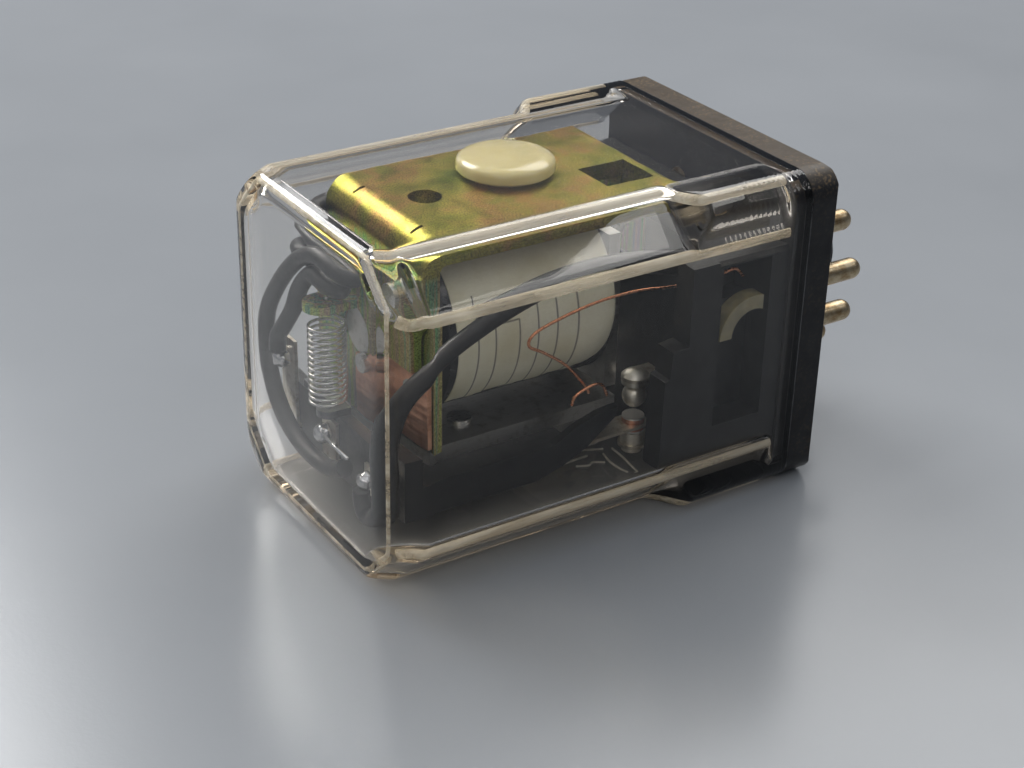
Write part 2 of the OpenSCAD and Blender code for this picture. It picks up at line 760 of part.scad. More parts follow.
module coil_wire(points) {
    color(copper) placed() tube(smooth_route(points, 3), wire_r, 6, [0, 0, 1]);
}

module wire_sleeve() {
    color(ivory) placed() intersection() {
        translate([-8.3, 0, 18.4]) rotate([90, 0, 0]) difference() {
            translate([0, 0, 13.2]) cylinder(h = 1.7, r = 4.2);
            translate([0, 0, 12]) cylinder(h = 4, r = 2.7);
        }
        block([-12.6, -15.1, 18.4], [-7.2, -13, 23]);
    }
}

cover();
base_plate();
contact_pins();
contact_block();
yoke();
stud_button();
yoke_screw();
core();
pole_piece();
bobbin();
coil_winding();
coil_tape();
coil_label();
spring_bracket();
bracket_rivets();
hinge_leaf();
leaf_rivets();
return_spring();
armature();
residual_stud();
contact_carrier();
carrier_rivets();
spring_arm();
moving_blade(0);  // moving_blade_1
moving_blade(1);  // moving_blade_2
moving_blade(2);  // moving_blade_3
moving_contact(0);  // moving_contact_1
moving_contact(1);  // moving_contact_2
moving_contact(2);  // moving_contact_3
upper_blade(0);  // upper_blade_1
upper_blade(1);  // upper_blade_2
upper_blade(2);  // upper_blade_3
upper_contact(0);  // upper_contact_1
upper_contact(1);  // upper_contact_2
upper_contact(2);  // upper_contact_3
lower_blade(0);  // lower_blade_1
lower_blade(1);  // lower_blade_2
lower_blade(2);  // lower_blade_3
lower_contact(0);  // lower_contact_1
lower_contact(1);  // lower_contact_2
lower_contact(2);  // lower_contact_3
solder_joints();
flexible_lead(near_lead);  // flexible_lead_1
flexible_lead(middle_lead);  // flexible_lead_2
flexible_lead(far_lead);  // flexible_lead_3
coil_wire(upper_wire);  // coil_wire_1
coil_wire(lower_wire);  // coil_wire_2
wire_sleeve();
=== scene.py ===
# %% [markdown]
# # A plug-in relay in a clear cover
#
# The real object is an electromagnetic switch. A coil pulls an iron bar, the bar carries
# three contact springs, and a clear moulded cover keeps dust out. Eleven pins plug it into
# a socket. The solids come from the CAD model; this file gives them their finishes and
# makes the soft pieces again: leads, coil wires, the spring and the paper label.
#
# All lengths are in metres. Where a place is easier to think of in millimetres from the
# outer face of the base plate, the helper `at` below turns it into metres.

import math

import bmesh
import bpy
import numpy as np
from mathutils import Matrix, Vector, noise


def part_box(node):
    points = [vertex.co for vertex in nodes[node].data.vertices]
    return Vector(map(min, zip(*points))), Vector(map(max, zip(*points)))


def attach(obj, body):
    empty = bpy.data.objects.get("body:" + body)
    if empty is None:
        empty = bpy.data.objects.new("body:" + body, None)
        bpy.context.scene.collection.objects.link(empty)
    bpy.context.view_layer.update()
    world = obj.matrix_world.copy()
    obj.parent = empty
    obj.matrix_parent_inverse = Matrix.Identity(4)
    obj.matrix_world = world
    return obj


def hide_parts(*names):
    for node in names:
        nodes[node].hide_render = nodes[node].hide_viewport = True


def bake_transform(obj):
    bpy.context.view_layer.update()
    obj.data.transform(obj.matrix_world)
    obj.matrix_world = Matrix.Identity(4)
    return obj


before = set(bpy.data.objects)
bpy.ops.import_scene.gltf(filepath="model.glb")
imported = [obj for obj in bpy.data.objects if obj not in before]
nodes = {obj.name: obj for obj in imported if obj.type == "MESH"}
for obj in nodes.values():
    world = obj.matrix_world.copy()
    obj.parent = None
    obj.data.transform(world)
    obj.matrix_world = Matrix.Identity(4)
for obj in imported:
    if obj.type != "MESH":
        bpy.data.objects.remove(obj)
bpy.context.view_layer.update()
MM = 0.001
PLATE_THICK = 3.4
PLATE_FACE_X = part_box("cover")[1][0] / MM + PLATE_THICK


# %% Helpers for places and objects
def at(x, y, z):
    """A point in metres, from millimetres with x counted from the plate's outer face."""
    return Vector(((x + PLATE_FACE_X) * MM, y * MM, z * MM))


def new_object(name, data):
    """An object with this data, linked into the scene."""
    made = bpy.data.objects.new(name, data)
    bpy.context.scene.collection.objects.link(made)
    return made


def object_of(solid, name):
    """A finished bmesh as an object of its own."""
    mesh = bpy.data.meshes.new(name)
    solid.to_mesh(mesh)
    solid.free()
    return new_object(name, mesh)


def join_rings(solid, rows):
    """Faces between each closed ring of vertices and the next one."""
    for first, second in zip(rows, rows[1:]):
        for j in range(len(first)):
            solid.faces.new((first[j - 1], first[j], second[j], second[j - 1]))


# %% [markdown]
# ## The camera
#
# The photograph looks down at the closed end and one side of the relay. The angles, the
# distance and the lens were worked out together, from the straight edges of the cover and
# the plate.

# %% Camera
VIEW_AZIMUTH = math.radians(-33.32)
VIEW_HEIGHT = math.radians(28.08)
VIEW_ROLL = math.radians(1.42)
VIEW_DISTANCE = 0.1972
VIEW_TARGET = at(-28.4, -2.2, 11.7)
PICTURE_WIDTH = 1024
FOCAL_PIXELS = 1911
SENSOR_MM = 36

back = Vector((
    math.sin(VIEW_AZIMUTH) * math.cos(VIEW_HEIGHT),
    -math.cos(VIEW_AZIMUTH) * math.cos(VIEW_HEIGHT),
    math.sin(VIEW_HEIGHT),
))
level_right = Vector((0, 0, 1)).cross(back).normalized()
level_up = back.cross(level_right)
right = math.cos(VIEW_ROLL) * level_right + math.sin(VIEW_ROLL) * level_up
up = math.cos(VIEW_ROLL) * level_up - math.sin(VIEW_ROLL) * level_right

camera_data = bpy.data.cameras.new("photo_camera")
camera_data.sensor_width = SENSOR_MM
camera_data.lens = SENSOR_MM * FOCAL_PIXELS / PICTURE_WIDTH
camera_data.clip_start = 0.005
camera_data.clip_end = 20
camera = new_object("photo_camera", camera_data)
turn = Matrix((right, up, back)).transposed().to_4x4()
camera.matrix_world = Matrix.Translation(VIEW_TARGET + back * VIEW_DISTANCE) @ turn
bpy.context.scene.camera = camera
print("camera at", [round(v, 4) for v in camera.matrix_world.translation])

# %% [markdown]
# ## Helpers for materials
#
# Each finish is a Principled shader whose colour, roughness and small relief come from
# procedural textures. A few short helpers keep the node building readable: `finish` makes
# the material, `link` joins two sockets, and `put` joins a value to the shader. `noise_at`,
# `spread` and `mixed` make most textures. Coordinates are the object's own, times a
# thousand, so a texture's scale counts its features in each millimetre.


# %% Material helpers
def finish(name, **sockets):
    """A material with these socket values, with its tree, shader and place in millimetres."""
    made = bpy.data.materials.new(name)
    made.use_nodes = True
    tree, shader = shader_of(made)
    for socket, value in sockets.items():
        shader.inputs[socket.replace("_", " ")].default_value = value
    return made, tree, shader, millimetres(tree)


def add(tree, kind, **settings):
    """A node of this kind; settings are its properties, or its inputs where the name matches one."""
    node = tree.nodes.new(kind)
    for key, value in settings.items():
        socket_name = key.replace("_", " ")
        if socket_name in node.inputs:
            node.inputs[socket_name].default_value = value
        else:
            setattr(node, key, value)
    return node


def link(out_socket, in_socket):
    """Joins two sockets of one tree; a socket's id_data is the tree it belongs to."""
    out_socket.id_data.links.new(out_socket, in_socket)


def millimetres(tree, stretch=(1, 1, 1)):
    """Object coordinates in millimetres, each axis times its stretch."""
    place = add(tree, "ShaderNodeTexCoord")
    mapping = add(tree, "ShaderNodeMapping")
    mapping.inputs["Scale"].default_value = [1000 * s for s in stretch]
    link(place.outputs["Object"], mapping.inputs["Vector"])
    return mapping.outputs["Vector"]


def noise_at(vector, scale, detail=4.0, rough=0.55):
    """A noise value, its features about 1/scale millimetres across."""
    texture = add(vector.id_data, "ShaderNodeTexNoise", Scale=scale, Detail=detail, Roughness=rough)
    link(vector, texture.inputs["Vector"])
    return texture.outputs["Fac"]


def ramp(value, stops):
    """A colour ramp over (position, colour) stops."""
    node = add(value.id_data, "ShaderNodeValToRGB")
    elements = node.color_ramp.elements
    while len(elements) < len(stops):
        elements.new(0.5)
    for element, (position, colour) in zip(elements, stops):
        element.position = position
        element.color = (*colour, 1)
    link(value, node.inputs["Fac"])
    return node.outputs["Color"]


def spread(value, low, high, to_low, to_high):
    """Maps a value's range low..high onto to_low..to_high."""
    node = add(value.id_data, "ShaderNodeMapRange")
    for key, number in (("From Min", low), ("From Max", high), ("To Min", to_low), ("To Max", to_high)):
        node.inputs[key].default_value = number
    link(value, node.inputs["Value"])
    return node.outputs["Result"]


NOISE_LOW, NOISE_HIGH = 0.3, 0.7


def between(texture, to_low=0, to_high=1):
    """A noise, most of which lies from NOISE_LOW to NOISE_HIGH, spread over a new range."""
    return spread(texture, NOISE_LOW, NOISE_HIGH, to_low, to_high)


def calculate(operation, first, second=None):
    """A Math node on a socket and a second socket or number."""
    node = add(first.id_data, "ShaderNodeMath", operation=operation)
    for i, operand in enumerate((first, second)):
        if operand is None:
            continue
        if isinstance(operand, (int, float)):
            node.inputs[i].default_value = operand
        else:
            link(operand, node.inputs[i])
    return node.outputs["Value"]


def mixed(factor, first, second):
    """A mix of two colours, given as sockets or tuples, by the factor's socket."""
    node = add(factor.id_data, "ShaderNodeMix", data_type="RGBA")
    for number, operand in ((0, factor), (6, first), (7, second)):
        if isinstance(operand, tuple):
            node.inputs[number].default_value = (*operand, 1)
        else:
            link(operand, node.inputs[number])
    return node.outputs[2]


def relief(height, depth, strength=1.0):
    """Small relief of this depth in metres, as a normal."""
    bump = add(height.id_data, "ShaderNodeBump", Strength=strength, Distance=depth)
    link(height, bump.inputs["Height"])
    return bump.outputs["Normal"]


def axis(vector, letter):
    """The X, Y or Z part of a vector."""
    split = add(vector.id_data, "ShaderNodeSeparateXYZ")
    link(vector, split.inputs["Vector"])
    return split.outputs[letter]


def facing_up(tree):
    """How far the surface faces up: 1 on top, 0 on a side and -1 below."""
    return axis(add(tree, "ShaderNodeNewGeometry").outputs["Normal"], "Z")


def shader_of(material):
    """The node tree of a material and its Principled shader."""
    return material.node_tree, material.node_tree.nodes["Principled BSDF"]


def put(shader, socket, value):
    """Joins a value to one of the shader's sockets."""
    link(value, shader.inputs[socket])


# %% [markdown]
# ## Floor and light
#
# The relay lies on a plain pale table. The main lamp is a wide soft panel high behind it:
# the rounded edges of the clear cover mirror it as bright lines, and its soft shadow falls
# forwards. A lamp beyond the pins lights the yoke, a narrow weak one is mirrored by the near
# chamfer, and another weak one fills in from the front. The walls of the room are dark and
# its ceiling is pale, which keeps the clear faces free of a grey veil.

# %% Floor
HALF_FLOOR = 1.5
FLOOR_DROP = 0.00002
floor_mesh = bpy.data.meshes.new("table")
floor_corners = [(x * HALF_FLOOR, y * HALF_FLOOR, 0) for x, y in ((-1, -1), (1, -1), (1, 1), (-1, 1))]
floor_mesh.from_pydata(floor_corners, [], [(0, 1, 2, 3)])
floor = new_object("table", floor_mesh)
floor.location.z = -FLOOR_DROP


# %% Lamps and world
def area_lamp(name, place, aim, size, watts, colour=(1, 1, 1)):
    """A soft rectangular lamp at one point that faces another."""
    data = bpy.data.lights.new(name, "AREA")
    data.shape = "RECTANGLE"
    data.size, data.size_y = size
    data.energy = watts
    data.color = colour
    lamp = new_object(name, data)
    lamp.location = place
    lamp.rotation_euler = (Vector(aim) - Vector(place)).to_track_quat("-Z", "Y").to_euler()


area_lamp("window", (0.40, 0.22, 0.46), (0, 0, 0.01), (0.42, 0.3), 1.5, (1, 0.99, 0.97))
area_lamp("ceiling_panel", (-0.1, 0.52, 0.46), (-0.02, 0, 0.02), (0.4, 0.24), 3.5)
area_lamp("chamfer_lamp", (0.34, -0.33, 0.52), (0, 0, 0.02), (0.25, 0.05), 0.2, (1, 0.99, 0.96))
area_lamp("room_fill", (-0.36, -0.42, 0.46), (0, 0, 0.01), (0.4, 0.4), 0.4, (1, 0.98, 0.96))

world = bpy.data.worlds.new("room_light")
world.use_nodes = True
bpy.context.scene.world = world
tree = world.node_tree
height = axis(add(tree, "ShaderNodeTexCoord").outputs["Generated"], "Z")
sky = ramp(height, [(0.5, (0.12, 0.132, 0.155)), (0.9, (0.74, 0.79, 0.87))])
link(sky, tree.nodes["Background"].inputs["Color"])

# %% [markdown]
# ## Effects that several finishes share
#
# Dust settles on what faces up, in grains and in faint clouds, and every metal strip has
# fine lines along the way it was rolled. Each is built once as a node group with its own
# inputs. The groups put out masks only; each material decides what a mask does.


# %% Node group: dust
def new_group(name, inputs, output):
    """A shader node group with float inputs (name, default) and one float output."""
    group = bpy.data.node_groups.new(name, "ShaderNodeTree")
    for socket, default in inputs:
        made = group.interface.new_socket(socket, in_out="INPUT", socket_type="NodeSocketFloat")
        made.default_value = default
    group.interface.new_socket(output, in_out="OUTPUT", socket_type="NodeSocketFloat")
    return group, add(group, "NodeGroupInput"), add(group, "NodeGroupOutput")


dust_group, dust_in, dust_out = new_group("settled_dust", [("Amount", 0.5), ("Grain", 3.0)], "Mask")
tree = dust_group
place = millimetres(tree)
clouds = spread(noise_at(place, 0.25, 3), 0.38, 0.7, 0.15, 1)
grain_noise = add(tree, "ShaderNodeTexNoise", Detail=3.0, Roughness=0.6)
link(place, grain_noise.inputs["Vector"])
link(dust_in.outputs["Grain"], grain_noise.inputs["Scale"])
grains = spread(grain_noise.outputs["Fac"], 0.5, 0.68, 0, 1)
upward = spread(facing_up(tree), 0.2, 0.95, 0.08, 1)
dust_mask = calculate("MULTIPLY", clouds, grains)
for factor in (upward, dust_in.outputs["Amount"]):
    dust_mask = calculate("MULTIPLY", dust_mask, factor)
link(dust_mask, dust_out.inputs["Mask"])

# %% Node group: rolled lines
lines_group, lines_in, lines_out = new_group("rolled_lines", [("Fineness", 6.0)], "Lines")
tree = lines_group
stretched = millimetres(tree, (0.06, 1, 1))
lines_noise = add(tree, "ShaderNodeTexNoise", Detail=5.0, Roughness=0.7)
link(stretched, lines_noise.inputs["Vector"])
link(lines_in.outputs["Fineness"], lines_noise.inputs["Scale"])
link(lines_noise.outputs["Fac"], lines_out.inputs["Lines"])


def use_group(tree, group, **values):
    """Places a group in a material with its own values and gives its output."""
    node = tree.nodes.new("ShaderNodeGroup")
    node.node_tree = group
    for key, value in values.items():
        node.inputs[key].default_value = value
    return node.outputs[0]


print("node groups:", [g.name for g in bpy.data.node_groups])

# %% [markdown]
# ## The table top
#
# A satin laminate: almost one colour, with a faint mottle and a very fine grain.

# %% Finish: table
table_finish, tree, shader, place = finish("pale_laminate", Roughness=0.25)
mottle = between(noise_at(place, 0.02, 3))
put(shader, "Base Color", mixed(mottle, (0.265, 0.275, 0.285), (0.29, 0.30, 0.31)))
put(shader, "Normal", relief(noise_at(place, 2.5, 3), 0.00002, 0.3))
floor_mesh.materials.append(table_finish)

# %% [markdown]
# ## The clear plastic
#
# The cover is moulded in clear plastic, a little brown with age. The colour sits in the
# depth of the plastic, not on its skin: a face shows almost none, and the edges, where the
# eye looks along the wall, turn amber. A Volume Absorption gives just that. Rays that go
# straight to a lamp pass the wall as if it were a thin tint, which lets the light in
# without noise. A ray that keeps bouncing inside the wall leaves it after a few turns, as
# the real one does at some scratch or rim; else the edges would go black.

# %% Finish: clear plastic
TURNS_IN_WALL = 2.5
MOST_BOUNCES = 8.5
clear, tree, shader, place = finish(
    "clear_cover", Base_Color=(1, 1, 1, 1), Roughness=0.01, IOR=1.47, Transmission_Weight=1.0,
    Specular_Tint=(0.65, 0.65, 0.65, 1),
)
put(shader, "Normal", relief(noise_at(place, 0.1, 2), 0.00007, 0.4))
smudge = spread(noise_at(place, 0.25, 4, 0.6), 0.52, 0.75, 0.005, 0.05)
put(shader, "Roughness", smudge)
path = add(tree, "ShaderNodeLightPath")
tint = add(tree, "ShaderNodeBsdfTransparent", Color=(0.84, 0.83, 0.81, 1))
turned = calculate("GREATER_THAN", path.outputs["Glossy Depth"], TURNS_IN_WALL)
deep = calculate("GREATER_THAN", path.outputs["Ray Depth"], MOST_BOUNCES)
trapped = calculate("MAXIMUM", turned, deep)
cover_mix = add(tree, "ShaderNodeMixShader")
link(calculate("MAXIMUM", path.outputs["Is Shadow Ray"], trapped), cover_mix.inputs["Fac"])
link(shader.outputs["BSDF"], cover_mix.inputs[1])
link(tint.outputs["BSDF"], cover_mix.inputs[2])
out = tree.nodes["Material Output"]
link(cover_mix.outputs["Shader"], out.inputs["Surface"])
aged_depth = add(tree, "ShaderNodeVolumeAbsorption", Color=(0.80, 0.62, 0.36, 1), Density=40.0)
link(aged_depth.outputs["Volume"], out.inputs["Volume"])

# %% [markdown]
# ## Black mouldings
#
# The base plate, the contact block, the carrier and the bobbin are pressed from black
# resin. It is never quite black: the skin is satin, with a fine grain and grey dust on
# whatever faces up.

# %% Finish: black moulding
black, tree, shader, place = finish("black_moulding", Specular_IOR_Level=0.3)
mottle = between(noise_at(place, 0.5, 4))
body_tone = mixed(mottle, (0.008, 0.008, 0.009), (0.017, 0.017, 0.018))
dust = use_group(tree, dust_group, Amount=0.15, Grain=1.5)
put(shader, "Base Color", mixed(dust, body_tone, (0.16, 0.15, 0.13)))
put(shader, "Roughness", between(noise_at(place, 1.5, 4), 0.34, 0.5))
put(shader, "Normal", relief(noise_at(place, 1.2, 2), 0.00001, 0.3))

# %% Finish: dusty edge of the base plate
dusty_black = black.copy()
dusty_black.name = "black_moulding_dusty_edge"
tree, shader = shader_of(dusty_black)
clean_tone = shader.inputs["Base Color"].links[0].from_socket
thick_dust = use_group(tree, dust_group, Amount=2.4, Grain=3.0)
even_dust = spread(facing_up(tree), 0.5, 0.95, 0, 0.35)
all_dust = calculate("MAXIMUM", thick_dust, even_dust)
put(shader, "Base Color", mixed(all_dust, clean_tone, (0.15, 0.10, 0.05)))

# %% [markdown]
# ## Yellow passivated steel
#
# The yoke and the spring bracket are zinc plated steel with a yellow chromate film. The
# film is thinner here and thicker there, so gold turns to olive, green and orange in
# patches, and the zinc under it glitters in grains of a few tenths of a millimetre.

# %% Finish: passivated steel
LEG_TOP_Z, LEG_BLEND = 28.4, 0.8
passivated, tree, shader, place = finish("yellow_passivated_steel", Metallic=1.0)
patches = noise_at(place, 0.13, 3, 0.6)
film = ramp(patches, [
    (0.30, (0.15, 0.18, 0.02)), (0.42, (0.26, 0.24, 0.035)), (0.50, (0.32, 0.26, 0.05)),
    (0.58, (0.38, 0.23, 0.07)), (0.66, (0.28, 0.24, 0.045)), (0.78, (0.17, 0.22, 0.025)),
])
on_leg = spread(axis(place, "Z"), LEG_TOP_Z - LEG_BLEND, LEG_TOP_Z, 1, 0)
streaks = noise_at(millimetres(tree, (1.0, 1.0, 0.02)), 0.8, 3, 0.6)
streak_film = ramp(streaks, [
    (0.30, (0.10, 0.28, 0.17)), (0.42, (0.36, 0.44, 0.09)), (0.50, (0.44, 0.32, 0.18)),
    (0.58, (0.18, 0.38, 0.20)), (0.68, (0.54, 0.54, 0.15)),
])
film = mixed(on_leg, film, streak_film)
grain = noise_at(place, 6, 3, 0.75)
glitter = spread(grain, 0.36, 0.64, 0.5, 1.7)
bright = add(tree, "ShaderNodeVectorMath", operation="SCALE")
link(film, bright.inputs[0])
link(glitter, bright.inputs["Scale"])
put(shader, "Base Color", bright.outputs["Vector"])
put(shader, "Roughness", between(noise_at(place, 0.5, 3), 0.3, 0.44))
put(shader, "Normal", relief(grain, 0.00001, 0.25))

# %% [markdown]
# ## Ivory nylon
#
# The stud on the yoke and the curved sleeve in the side pocket are milky nylon. Light goes
# a millimetre or so into it, which subsurface scattering gives.

# %% Finish: ivory nylon
ivory, tree, shader, place = finish(
    "ivory_nylon", Subsurface_Weight=0.6, Subsurface_Scale=0.0016,
    Subsurface_Radius=(1.0, 0.9, 0.5), Coat_Weight=0.6,
)
cloud = between(noise_at(place, 0.35, 3))
tone = mixed(cloud, (0.55, 0.48, 0.22), (0.62, 0.55, 0.30))
specks = spread(noise_at(place, 2.2, 3), 0.68, 0.78, 0, 0.25)
put(shader, "Base Color", mixed(specks, tone, (0.42, 0.37, 0.24)))
put(shader, "Roughness", between(noise_at(place, 1.2, 3), 0.14, 0.26))
put(shader, "Normal", relief(noise_at(place, 0.7, 3), 0.00012, 0.4))

# %% Finish: old sleeve
sleeve_grey = ivory.copy()
sleeve_grey.name = "aged_sleeve"
tree, shader = shader_of(sleeve_grey)
fresh_tone = shader.inputs["Base Color"].links[0].from_socket
grime = between(noise_at(millimetres(tree), 0.5, 4), 0.62, 0.85)
put(shader, "Base Color", mixed(grime, fresh_tone, (0.10, 0.095, 0.075)))

# %% [markdown]
# ## Metals with rolled lines
#
# The armature, the contact strips, the bronze leaf and the plated fasteners differ in
# colour and shine, but each is a rolled or drawn metal with fine lines and patches of
# tarnish; the armature's iron also gets a little dust. One function makes them all.

# %% Finish: rolled metals
def rolled_metal(name, colour, tarnish, tarnish_share, roughness, dust_amount=0.0):
    """A metal with rolled lines; tarnish_share is how much of it the darker colour takes."""
    made, tree, shader, place = finish(name, Metallic=1.0)
    patch = noise_at(place, 0.7, 5, 0.65)
    edge = 0.72 - 0.35 * tarnish_share
    mask = spread(patch, edge - 0.1, edge + 0.1, 0, 1)
    lines = use_group(tree, lines_group, Fineness=7.0)
    clean = mixed(spread(lines, 0.35, 0.65, 0, 0.35), colour, tarnish)
    tone = mixed(mask, clean, tarnish)
    if dust_amount:
        dust = use_group(tree, dust_group, Amount=dust_amount, Grain=5.0)
        tone = mixed(dust, tone, (0.32, 0.30, 0.27))
    put(shader, "Base Color", tone)
    put(shader, "Roughness", between(lines, roughness * 0.8, roughness * 1.35))
    put(shader, "Normal", relief(lines, 0.00002, 0.4))
    return made


soft_iron = rolled_metal("nickel_plated_iron", (0.68, 0.67, 0.64), (0.42, 0.40, 0.36), 0.3, 0.33, 0.1)
tinned = rolled_metal("tarnished_brass_pin", (0.56, 0.47, 0.32), (0.30, 0.20, 0.10), 0.6, 0.3)
plated = rolled_metal("zinc_plated_steel", (0.66, 0.66, 0.66), (0.38, 0.36, 0.33), 0.25, 0.28)
strip = rolled_metal("nickel_silver_strip", (0.76, 0.72, 0.62), (0.46, 0.38, 0.26), 0.4, 0.34)
silver = rolled_metal("silver_rivet", (0.92, 0.89, 0.80), (0.62, 0.54, 0.40), 0.25, 0.4)
bronze = rolled_metal("rolled_bronze", (0.92, 0.52, 0.34), (0.66, 0.30, 0.18), 0.3, 0.36)
tree, shader = shader_of(bronze)
bowed = noise_at(millimetres(tree, (0.05, 0.05, 0.4)), 1.0, 2)
put(shader, "Normal", relief(bowed, 0.0008, 1.0))
brass = rolled_metal("turned_brass", (0.72, 0.56, 0.26), (0.45, 0.33, 0.14), 0.3, 0.28)
dark_steel = rolled_metal("blackened_steel", (0.16, 0.16, 0.17), (0.08, 0.08, 0.08), 0.4, 0.35)
spring_steel = rolled_metal("spring_wire", (0.72, 0.72, 0.70), (0.45, 0.43, 0.38), 0.2, 0.22)
copper = rolled_metal("enamelled_copper", (0.86, 0.40, 0.22), (0.60, 0.20, 0.10), 0.35, 0.25)
solder = rolled_metal("bright_solder", (0.74, 0.74, 0.74), (0.52, 0.50, 0.47), 0.3, 0.2)

# %% [markdown]
# ## Rivets of two metals
#
# Each moving contact is a copper rivet with a thin silver layer on both faces. The faces
# lie at known heights, so the height along Z tells the shader which metal it is.

# %% Finish: two metal rivet
MOVING_LOW_FACE = 5.3
MOVING_HIGH_FACE = 7.05
SILVER_LAYER = 0.18
METAL_BLEND = 0.05
two_metal, tree, shader, place = finish("copper_rivet_silver_faces", Metallic=1.0)
height = axis(place, "Z")
low_edge, high_edge = MOVING_LOW_FACE + SILVER_LAYER, MOVING_HIGH_FACE - SILVER_LAYER
low_side = spread(height, low_edge, low_edge + METAL_BLEND, 1, 0)
high_side = spread(height, high_edge - METAL_BLEND, high_edge, 0, 1)
faces_mask = calculate("MAXIMUM", low_side, high_side)
tarnish = spread(noise_at(place, 1.6, 4), 0.4, 0.65, 0, 1)
copper_tone = mixed(tarnish, (0.74, 0.36, 0.24), (0.50, 0.22, 0.14))
put(shader, "Base Color", mixed(faces_mask, copper_tone, (0.84, 0.82, 0.76)))
put(shader, "Roughness", spread(tarnish, 0, 1, 0.36, 0.48))
put(shader, "Normal", relief(noise_at(place, 6, 3), 0.00002, 0.4))

# %% [markdown]
# ## Paper, tape and lead insulation
#
# The label is uncoated paper that has turned cream, with fibres and a few stains. It has a
# plain printed box and a few rules across it, and no words. Under it lies smooth black tape,
# wound round the coil. The leads have a dark rubbery insulation with a soft shine.

# %% Finish: label paper
paper, tree, shader, place = finish("label_paper", Specular_IOR_Level=0.25)
fibres = noise_at(millimetres(tree, (1, 3.2, 3.2)), 2.2, 5, 0.7)
aged = spread(noise_at(place, 0.22, 4), 0.35, 0.7, 0, 1)
tone = mixed(aged, (0.80, 0.78, 0.63), (0.70, 0.66, 0.47))
tone = mixed(spread(fibres, 0.4, 0.75, 0, 0.4), tone, (0.58, 0.54, 0.40))
BOX_X, BOX_HALF_X = PLATE_FACE_X - 32.2, 1.4
BOX_Z, BOX_HALF_Z = 17.6, 4.2
RULE_Z, RULE_HALF_LENGTH = BOX_Z + 1, BOX_HALF_Z + 1.5
RULE_HALF_WIDTH = 0.07
INK_BLEND = 0.05


def within(value, middle, half):
    """1 where the value is within half of the middle, 0 elsewhere."""
    distance = calculate("ABSOLUTE", calculate("SUBTRACT", value, middle))
    return spread(distance, half, half + INK_BLEND, 1, 0)


def rule(across, place_across, along, middle, half):
    """A straight printed line: thin one way, and as long as twice the half the other way."""
    thin = within(across, place_across, RULE_HALF_WIDTH)
    return calculate("MULTIPLY", thin, within(along, middle, half))


print_x, print_z = axis(place, "X"), axis(place, "Z")
rules = []
for side in (-1, 1):
    rules.append(rule(print_x, BOX_X + side * BOX_HALF_X, print_z, BOX_Z, BOX_HALF_Z))
    rules.append(rule(print_z, BOX_Z + side * BOX_HALF_Z, print_x, BOX_X, BOX_HALF_X))
for rule_x in (-35.6, -28.6, -26.4, -24.2):
    rules.append(rule(print_x, PLATE_FACE_X + rule_x, print_z, RULE_Z, RULE_HALF_LENGTH))
printed = rules[0]
for line in rules[1:]:
    printed = calculate("MAXIMUM", printed, line)
ink = calculate("MULTIPLY", printed, spread(fibres, 0.25, 0.6, 0.85, 0.6))
tone = mixed(ink, tone, (0.06, 0.06, 0.065))
put(shader, "Base Color", tone)
put(shader, "Roughness", between(fibres, 0.62, 0.85))
put(shader, "Normal", relief(fibres, 0.00004, 0.5))

# %% Finish: black tape
tape, tree, shader, place = finish("black_tape", Coat_Weight=0.3, Coat_Roughness=0.2)
wrinkles = noise_at(millimetres(tree, (0.25, 1, 1)), 1.1, 4)
tone = mixed(between(wrinkles), (0.010, 0.010, 0.011), (0.022, 0.022, 0.024))
put(shader, "Base Color", tone)
put(shader, "Roughness", between(noise_at(place, 0.8, 4), 0.22, 0.4))
put(shader, "Normal", relief(wrinkles, 0.00006, 0.5))

# %% Finish: lead insulation
insulation, tree, shader, place = finish("lead_insulation", Specular_IOR_Level=0.45)
blotch = between(noise_at(place, 0.6, 4))
tone = mixed(blotch, (0.011, 0.0115, 0.013), (0.024, 0.024, 0.026))
dust = use_group(tree, dust_group, Amount=0.15, Grain=2.0)
put(shader, "Base Color", mixed(dust, tone, (0.20, 0.17, 0.13)))
put(shader, "Roughness", between(noise_at(place, 2.5, 4), 0.38, 0.55))
put(shader, "Normal", relief(noise_at(place, 3, 4), 0.00005, 0.4))

# %% [markdown]
# ## Finishes on the CAD pieces
#
# The rigid pieces keep their solids from the CAD model and only get their finish. The
# three poles share theirs.

# %% Give every rigid CAD piece its finish
finish_of = {
    "base_plate": dusty_black, "contact_block": black, "bobbin": black, "contact_carrier": black,
    "contact_pins": tinned, "yoke": passivated, "spring_bracket": passivated,
    "wire_sleeve": sleeve_grey, "yoke_screw": plated, "bracket_rivets": plated, "leaf_rivets": plated,
    "carrier_rivets": plated, "core": soft_iron, "pole_piece": soft_iron, "armature": soft_iron,
    "residual_stud": brass, "hinge_leaf": bronze, "spring_arm": dark_steel, "coil_winding": copper,
    "coil_tape": tape,
}
for pole in ("1", "2", "3"):
    for level, metal in (("moving", two_metal), ("upper", silver), ("lower", silver)):
        finish_of[level + "_blade_" + pole] = strip
        finish_of[level + "_contact_" + pole] = metal

for name, material in finish_of.items():
    slots = nodes[name].data.materials
    slots.clear()
    slots.append(material)
print("finished", len(finish_of), "CAD pieces")

# %% [markdown]
# ## The cover with rounded edges
#
# The CAD cover has its true walls, chamfers and stepped corners, but every edge is sharp. In
# a clear moulding the rounded edges are what the eye sees: they bend the light into bright
# and dark lines. So the visible cover is made again over the same sizes, as a grid of
# sections along X. A section is the flat sides and the four corner planes, joined by a power
# sum: a high power keeps the flats flat and rounds only the edges between them. At the
# closed end the corner planes lean in, which gives a small facet at each corner. Near the
# plate they step outwards, and that short stretch carries fine moulded ribs. Inside, the
# cavity keeps its chamfer almost to the rim, so the stepped corners are thick.

